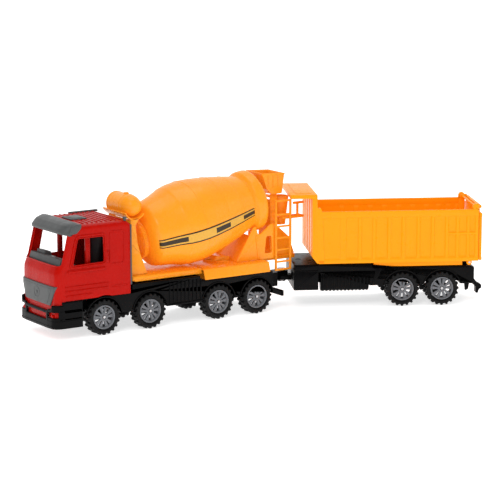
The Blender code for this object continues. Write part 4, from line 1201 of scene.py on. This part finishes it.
piece("funnel_cone", [turned([(12.0, 150.0), (12.2, 152.0), (10.8, 152.0), (6.0, 113.0),
                              (6.0, 112.0), (7.6, 112.0)], np.array([-3.0, 0.0, 0.0]), SKY,
                             EAST, SOUTH, 64, ring=True, ease=0.4)], ORANGE, "truck",
      ["collector_funnel"])

STILES = ((-32.5, -29.5), (-8.5, -5.5))
ladder = [block(stile, (-33.4, -30.4), (53.0, 152.0), 0.8) for stile in STILES]
for z in (53.0, 64.0, 81.0, 97.5, 113.5, 130.0, 149.2):
    ladder.append(block((-31.5, -6.5), (-33.0, -30.8), (z, z + 2.6), 0.7))
piece("ladder_frame", ladder, ORANGE, "truck", ["ladder"])

stand_shapes = [block((-17.0, 19.0), (-28.2, -15.3), (123.5, 127.0), 0.9),
                block((7.0, 10.0), (-28.0, -25.0), (126.0, 145.0), 0.8),
                block((1.0, 19.0), (-28.0, -25.0), (143.0, 146.5), 1.0)]
for x in np.arange(-13.0, 17.0, 4.0):
    stand_shapes.append(block((x - 0.5, x + 0.5), (-27.4, -16.1), (126.6, 127.5), 0.35))
piece("railed_platform", stand_shapes, ORANGE, "truck", ["platform"])

# Trailer chassis. A black moulding: a box at the front with a seam ridge and a spare pin
# hole, a spine under the body, arched sides over the axles, ribbed barrels as side
# tanks, a drawbar with the pin's eye, and a tow hook at the tail.
trailer = [block((12.0, 46.5), (-46.0, 46.0), (25.0, 51.4), 1.4),
           block((12.4, 46.5), (-45.6, 45.6), (52.0, 61.0), 1.4),
           block((12.2, 46.5), (-46.3, 46.3), (50.8, 52.8), 0.7),
           block((45.0, 266.0), (-26.0, 26.0), (32.0, 56.0), 1.0),
           soft([(58.0, 55.0), (262.0, 55.0), (258.3, 63.2), (60.0, 63.2)], -26.0, 26.0, "y",
                0.8, 1.0),
           soft([(14.0, 9.0), (14.0, -9.0), *[(9.0 * math.cos(t), 9.0 * math.sin(t))
                 for t in np.linspace(-math.pi / 2, -3 * math.pi / 2, 15)]], 33.0, 39.6, "z",
                0.8, 0.2)]
trailer_top = [(45.0, 50.0), (45.0, 60.8), (121.0, 60.8), (123.0, 55.2), (261.0, 55.2),
               (266.0, 53.5), (266.0, 30.0)]
for x in reversed(AXLES[4:]):
    foot = math.degrees(math.asin((30.0 - AXLE_Z) / ARCH))
    trailer_top += arch_points(x, foot, 180.0 - foot)
trailer_top += [(118.0, 30.0), (118.0, 50.0)]
trailer += both(lambda side: soft(trailer_top, *between(side, 28.0, 46.0), "y", 0.9, 0.5))
for x in AXLES[4:]:
    trailer.append(block((x - 8.0, x + 8.0), (-26.0, 26.0), (17.0, 34.0), 0.8))
    trailer += [arch_lip(x, side, 45.6, 46.9, 14.0) for side in (-1.0, 1.0)]
trailer += both(lambda side: soft([(127.0, 54.6), (135.5, 54.6), (126.0, 33.0), (121.0, 30.5)],
                                  *between(side, 45.0, 46.6), "y", 0.5, 1.2))


def ribbed_barrel(side):
    """A side tank: a round-shouldered barrel along X whose radius ripples with its length.

    The section is a superellipse; the ripple is 0.45 mm high with a rib every 5.2 mm.
    """
    start, stop = 49.6, 117.4
    x = np.linspace(start, stop, 150)[:, None]
    a = np.linspace(0.0, 2.0 * math.pi, 48, endpoint=False)[None]
    end = np.clip(np.minimum(x - start, stop - x) / 2.0, 0.0, 1.0)
    swell = 1.0 - 0.12 * (1.0 - np.sqrt(1.0 - (1.0 - end) ** 2))
    ripple = 0.45 * np.tanh(3.0 * np.sin(2.0 * math.pi * x / 5.2)) * (end > 0.99)
    c, s = np.cos(a), np.sin(a)
    y = 37.6 + (8.3 * swell + ripple) * np.sign(c) * np.abs(c) ** 0.75
    z = 36.6 + (14.0 * swell + ripple) * np.sign(s) * np.abs(s) ** 0.75
    return grid(np.stack([x + 0.0 * a, side * y, z], -1))


trailer += both(ribbed_barrel)
trailer += both(lambda side: block((49.0, 118.0), between(side, 29.0, 45.0), (47.0, 56.0), 0.8))
hook = [(262.0, 40.0), (262.0, 30.0), (277.0, 17.0), (277.0, 8.0), (280.5, 8.0), (281.5, 14.5),
        (285.0, 14.5), (285.0, 20.0), (279.0, 23.0), (270.0, 34.0), (270.0, 40.0)]
trailer.append(soft(hook, -7.0, 7.0, "y", 0.9, 1.0))
trailer += both(lambda side: soft([(252.0, 34.0), (260.0, 34.0), (258.0, 22.0), (253.5, 20.0)],
                                  *between(side, 41.0, 45.4), "y", 0.7, 1.2))
piece("trailer_frame", trailer, BLACK, "trailer", ["trailer_chassis"], "trailer")
piece("pin_eye", [turned([(3.4, 32.6), (6.8, 32.6), (6.8, 40.0), (3.4, 40.0)],
                         np.array([0.0, 0.0, 0.0]), SKY, EAST, SOUTH, 48, ring=True, ease=0.5),
                  turned([(2.6, 60.4), (4.4, 60.4), (4.4, 61.3), (2.6, 61.3)],
                         np.array([23.5, 0.0, 0.0]), SKY, EAST, SOUTH, 48, ring=True, ease=0.3)],
      BLACK, "trailer", (), "trailer")
carry_over(["hitch_pin"], STEEL)

# Tipping body. Amber mouldings about 2 mm thick: corrugated sides under a square rail, a
# ribbed front wall that carries the cab guard, and posts with round tops at the tail.
# The amber carries a painted glow: emission in its own colour that lifts its shade.
AMBER = moulded("body_amber", "amber_plastic", (0.88, 0.295, 0.003), 0.30, shift=0.04,
                grain=0.15, glow=0.2, shine=0.12)
BODY_WIDE, RAIL_TOP, RAIL_FOOT = 54.0, 136.5, 127.6
BODY_FORE, BODY_AFT, BODY_FOOT = 45.5, 269.6, 63.6
RIBS = (44.0, 78.0, 81.5, 103.0, 123.0, 144.0, 164.0, 185.0, 205.0, 225.0, 240.0, 255.0, 267.0)
SPLIT_FROM, SPLIT_Z = 225.0, 103.0


def bump(x, middle, half, flank):
    """A flat-topped bump: 1 within half of the middle, falling to 0 over the flank."""
    t = np.clip((half + flank - np.abs(x - middle)) / flank, 0.0, 1.0)
    return t * t * (3.0 - 2.0 * t)


def body_side(side):
    """One side wall: upright ribs outside, broad ribs inside, and a ledge that slopes out."""
    x = np.linspace(BODY_FORE, BODY_AFT, 360)[:, None]
    z = np.concatenate([np.linspace(BODY_FOOT, 72.0, 9), np.linspace(76.0, 100.0, 4),
                        np.linspace(101.0, 105.0, 9), np.linspace(109.0, 124.0, 4),
                        np.linspace(124.8, RAIL_FOOT + 1.0, 5)])[None]
    ribs = sum(bump(x, at, 1.5, 1.6) for at in RIBS)
    ribs = np.clip(ribs + bump(x, 61.0, 14.0, 1.5) * 0.55, 0.0, 1.0) + 0.0 * z
    split = bump(z, SPLIT_Z, 0.8, 1.2) * (x > SPLIT_FROM)
    ledge = np.clip((70.6 - z) / 2.2, 0.0, 1.0)
    rail_root = 0.3 * np.clip((z - 124.6) / 2.0, 0.0, 1.0)
    relief = np.maximum.reduce([ribs * 0.8, split + 0.0 * x, ledge + 0.0 * x,
                                rail_root + 0.0 * x])
    outer = BODY_WIDE - 0.1 - 1.9 * (1.0 - relief)
    broad = sum(bump(x, (a + b) / 2.0, 2.4, 2.0) for a, b in zip(RIBS[2:-1], RIBS[3:]))
    inner = 51.0 - 0.9 * np.clip(broad, 0.0, 1.0) * np.clip((RAIL_FOOT - z) / 3.0, 0.0, 1.0)
    flat = np.zeros_like(outer)
    return skins(np.stack([x + flat, side * outer, z + flat], -1),
                 np.stack([x + flat, side * (inner + flat), z + flat], -1))


body = both(body_side)
body += both(lambda side: soft([(side * 50.7, RAIL_FOOT), (side * BODY_WIDE, RAIL_FOOT),
                                (side * BODY_WIDE, RAIL_TOP), (side * 50.7, RAIL_TOP)],
                               44.0, BODY_AFT, "x", 0.8, 1.2))
# the floor and the two bearers under it
body.append(block((46.0, 270.0), (-52.0, 52.0), (BODY_FOOT, 66.0), 0.6))
body += both(lambda side: block((124.0, 249.0), between(side, 39.0, 45.0), (56.4, 64.2), 0.6))
# the front corners, the front wall with its ribs, and the cab guard on top
cheek = [(39.0, 74.0), (46.0, 63.6), (54.0, 63.6), (50.5, 136.4), (48.0, 142.0), (43.6, 142.2),
         (43.6, 160.4), (39.0, 158.0)]
body += both(lambda side: soft(cheek, *between(side, 50.9, 53.9), "y", 0.8, 1.2))
front_line = [(39.0, 157.0), (39.0, 74.0), (46.0, 63.6), (48.5, 65.8), (41.5, 75.6),
              (41.5, 157.0)]
body.append(soft(front_line, -52.0, 52.0, "y", 0.5, 0.8))
for y in (-36.0, -12.0, 12.0, 36.0):
    body.append(soft([(39.4, 154.0), (36.4, 151.0), (36.4, 73.2), (43.6, 63.9), (46.0, 64.6),
                      (39.6, 76.0)], y - 9.0, y + 9.0, "y", 0.9, 0.8))
body += both(lambda side: soft([(39.4, 156.0), (36.4, 156.0), (36.4, 73.2), (43.6, 63.9),
                                (46.0, 64.6), (39.6, 76.0)], *between(side, 50.0, 53.8), "y",
                               0.6, 0.8))
body += [block((6.0, 43.5), (-54.0, 54.0), (158.0, 160.5), 1.0),
         block((6.0, 8.6), (-54.0, 54.0), (155.0, 160.0), 1.0),
         block((14.0, 36.0), (-44.0, 44.0), (160.0, 161.2), 0.6)]
body += both(lambda side: block((6.0, 42.0), between(side, 51.4, 54.0), (155.0, 160.0), 1.0))
for y in np.arange(-39.0, 40.0, 26.0):
    body.append(block((8.0, 40.0), (y - 0.9, y + 0.9), (155.6, 158.6), 0.4))
# the tail posts with round tops, and the lugs that hang on the tilt rod
post_top = [(261.0, 135.0), (270.0, 135.0), (270.0, 140.4),
            *[(265.6 + 4.4 * math.cos(t), 140.0 + 4.2 * math.sin(t))
              for t in np.linspace(0.1, math.pi - 0.1, 13)], (261.0, 140.0)]
body += both(lambda side: soft(post_top, *between(side, 46.4, 54.0), "y", 1.4, 0.5))
body += both(lambda side: block((261.5, 270.0), between(side, 46.6, 51.6), (66.0, 137.0), 0.6))
TILT = unstand(joint("tipper_tilt")["pos_m"], "trailer")
lug_line = [(2.0, 46.6), (3.8, 46.6), (3.8, 49.8), (0.1, 50.2), (0.1, 49.7), (2.0, 49.7)]
for side in (-1.0, 1.0):
    body.append(turned(lug_line, np.array([TILT[0], 0.0, TILT[2]]), np.array([0.0, side, 0.0]),
                       EAST, SKY, 40, ring=True, ease=0.5))
    body.append(block((TILT[0] - 3.4, TILT[0] + 3.4), between(side, 46.7, 49.5),
                      (TILT[2] + 1.8, 65.0), 0.4))
piece("tipping_body", body, AMBER, "tipper", ["tipper_body"], "trailer")
carry_over(["tilt_rod"], STEEL)

# Tailgate. A ribbed plate that hangs by two ears from a rod in the posts.
GATE = unstand(joint("tailgate_swing")["pos_m"], "trailer")
gate = [block((270.6, 272.6), (-52.0, 52.0), (64.0, 131.0), 0.7),
        block((270.6, 272.6), (-45.2, 45.2), (129.0, 140.5), 0.7),
        block((272.0, 275.0), (-52.0, 52.0), (64.0, 68.5), 0.9),
        block((272.0, 275.0), (-52.0, 52.0), (125.0, 130.4), 0.9),
        block((272.0, 275.0), (-45.2, 45.2), (136.5, 140.5), 0.9)]
for y in np.arange(-50.0, 51.0, 20.0):
    gate.append(block((272.0, 274.6), (y - 1.9, y + 1.9), (66.0, 128.0), 0.9))
gate += both(lambda side: block((262.6, 272.0), between(side, 41.0, 44.0), (136.4, 142.6), 1.0))
gate.append(turned([(0.1, -50.4), (1.5, -50.4), (1.5, 50.4), (0.1, 50.4)],
                   np.array([GATE[0], 0.0, GATE[2]]), NEAR, EAST, SKY, 24, ease=0.2))
piece("tailgate_plate", gate, AMBER, "tailgate", ["tailgate"], "trailer")
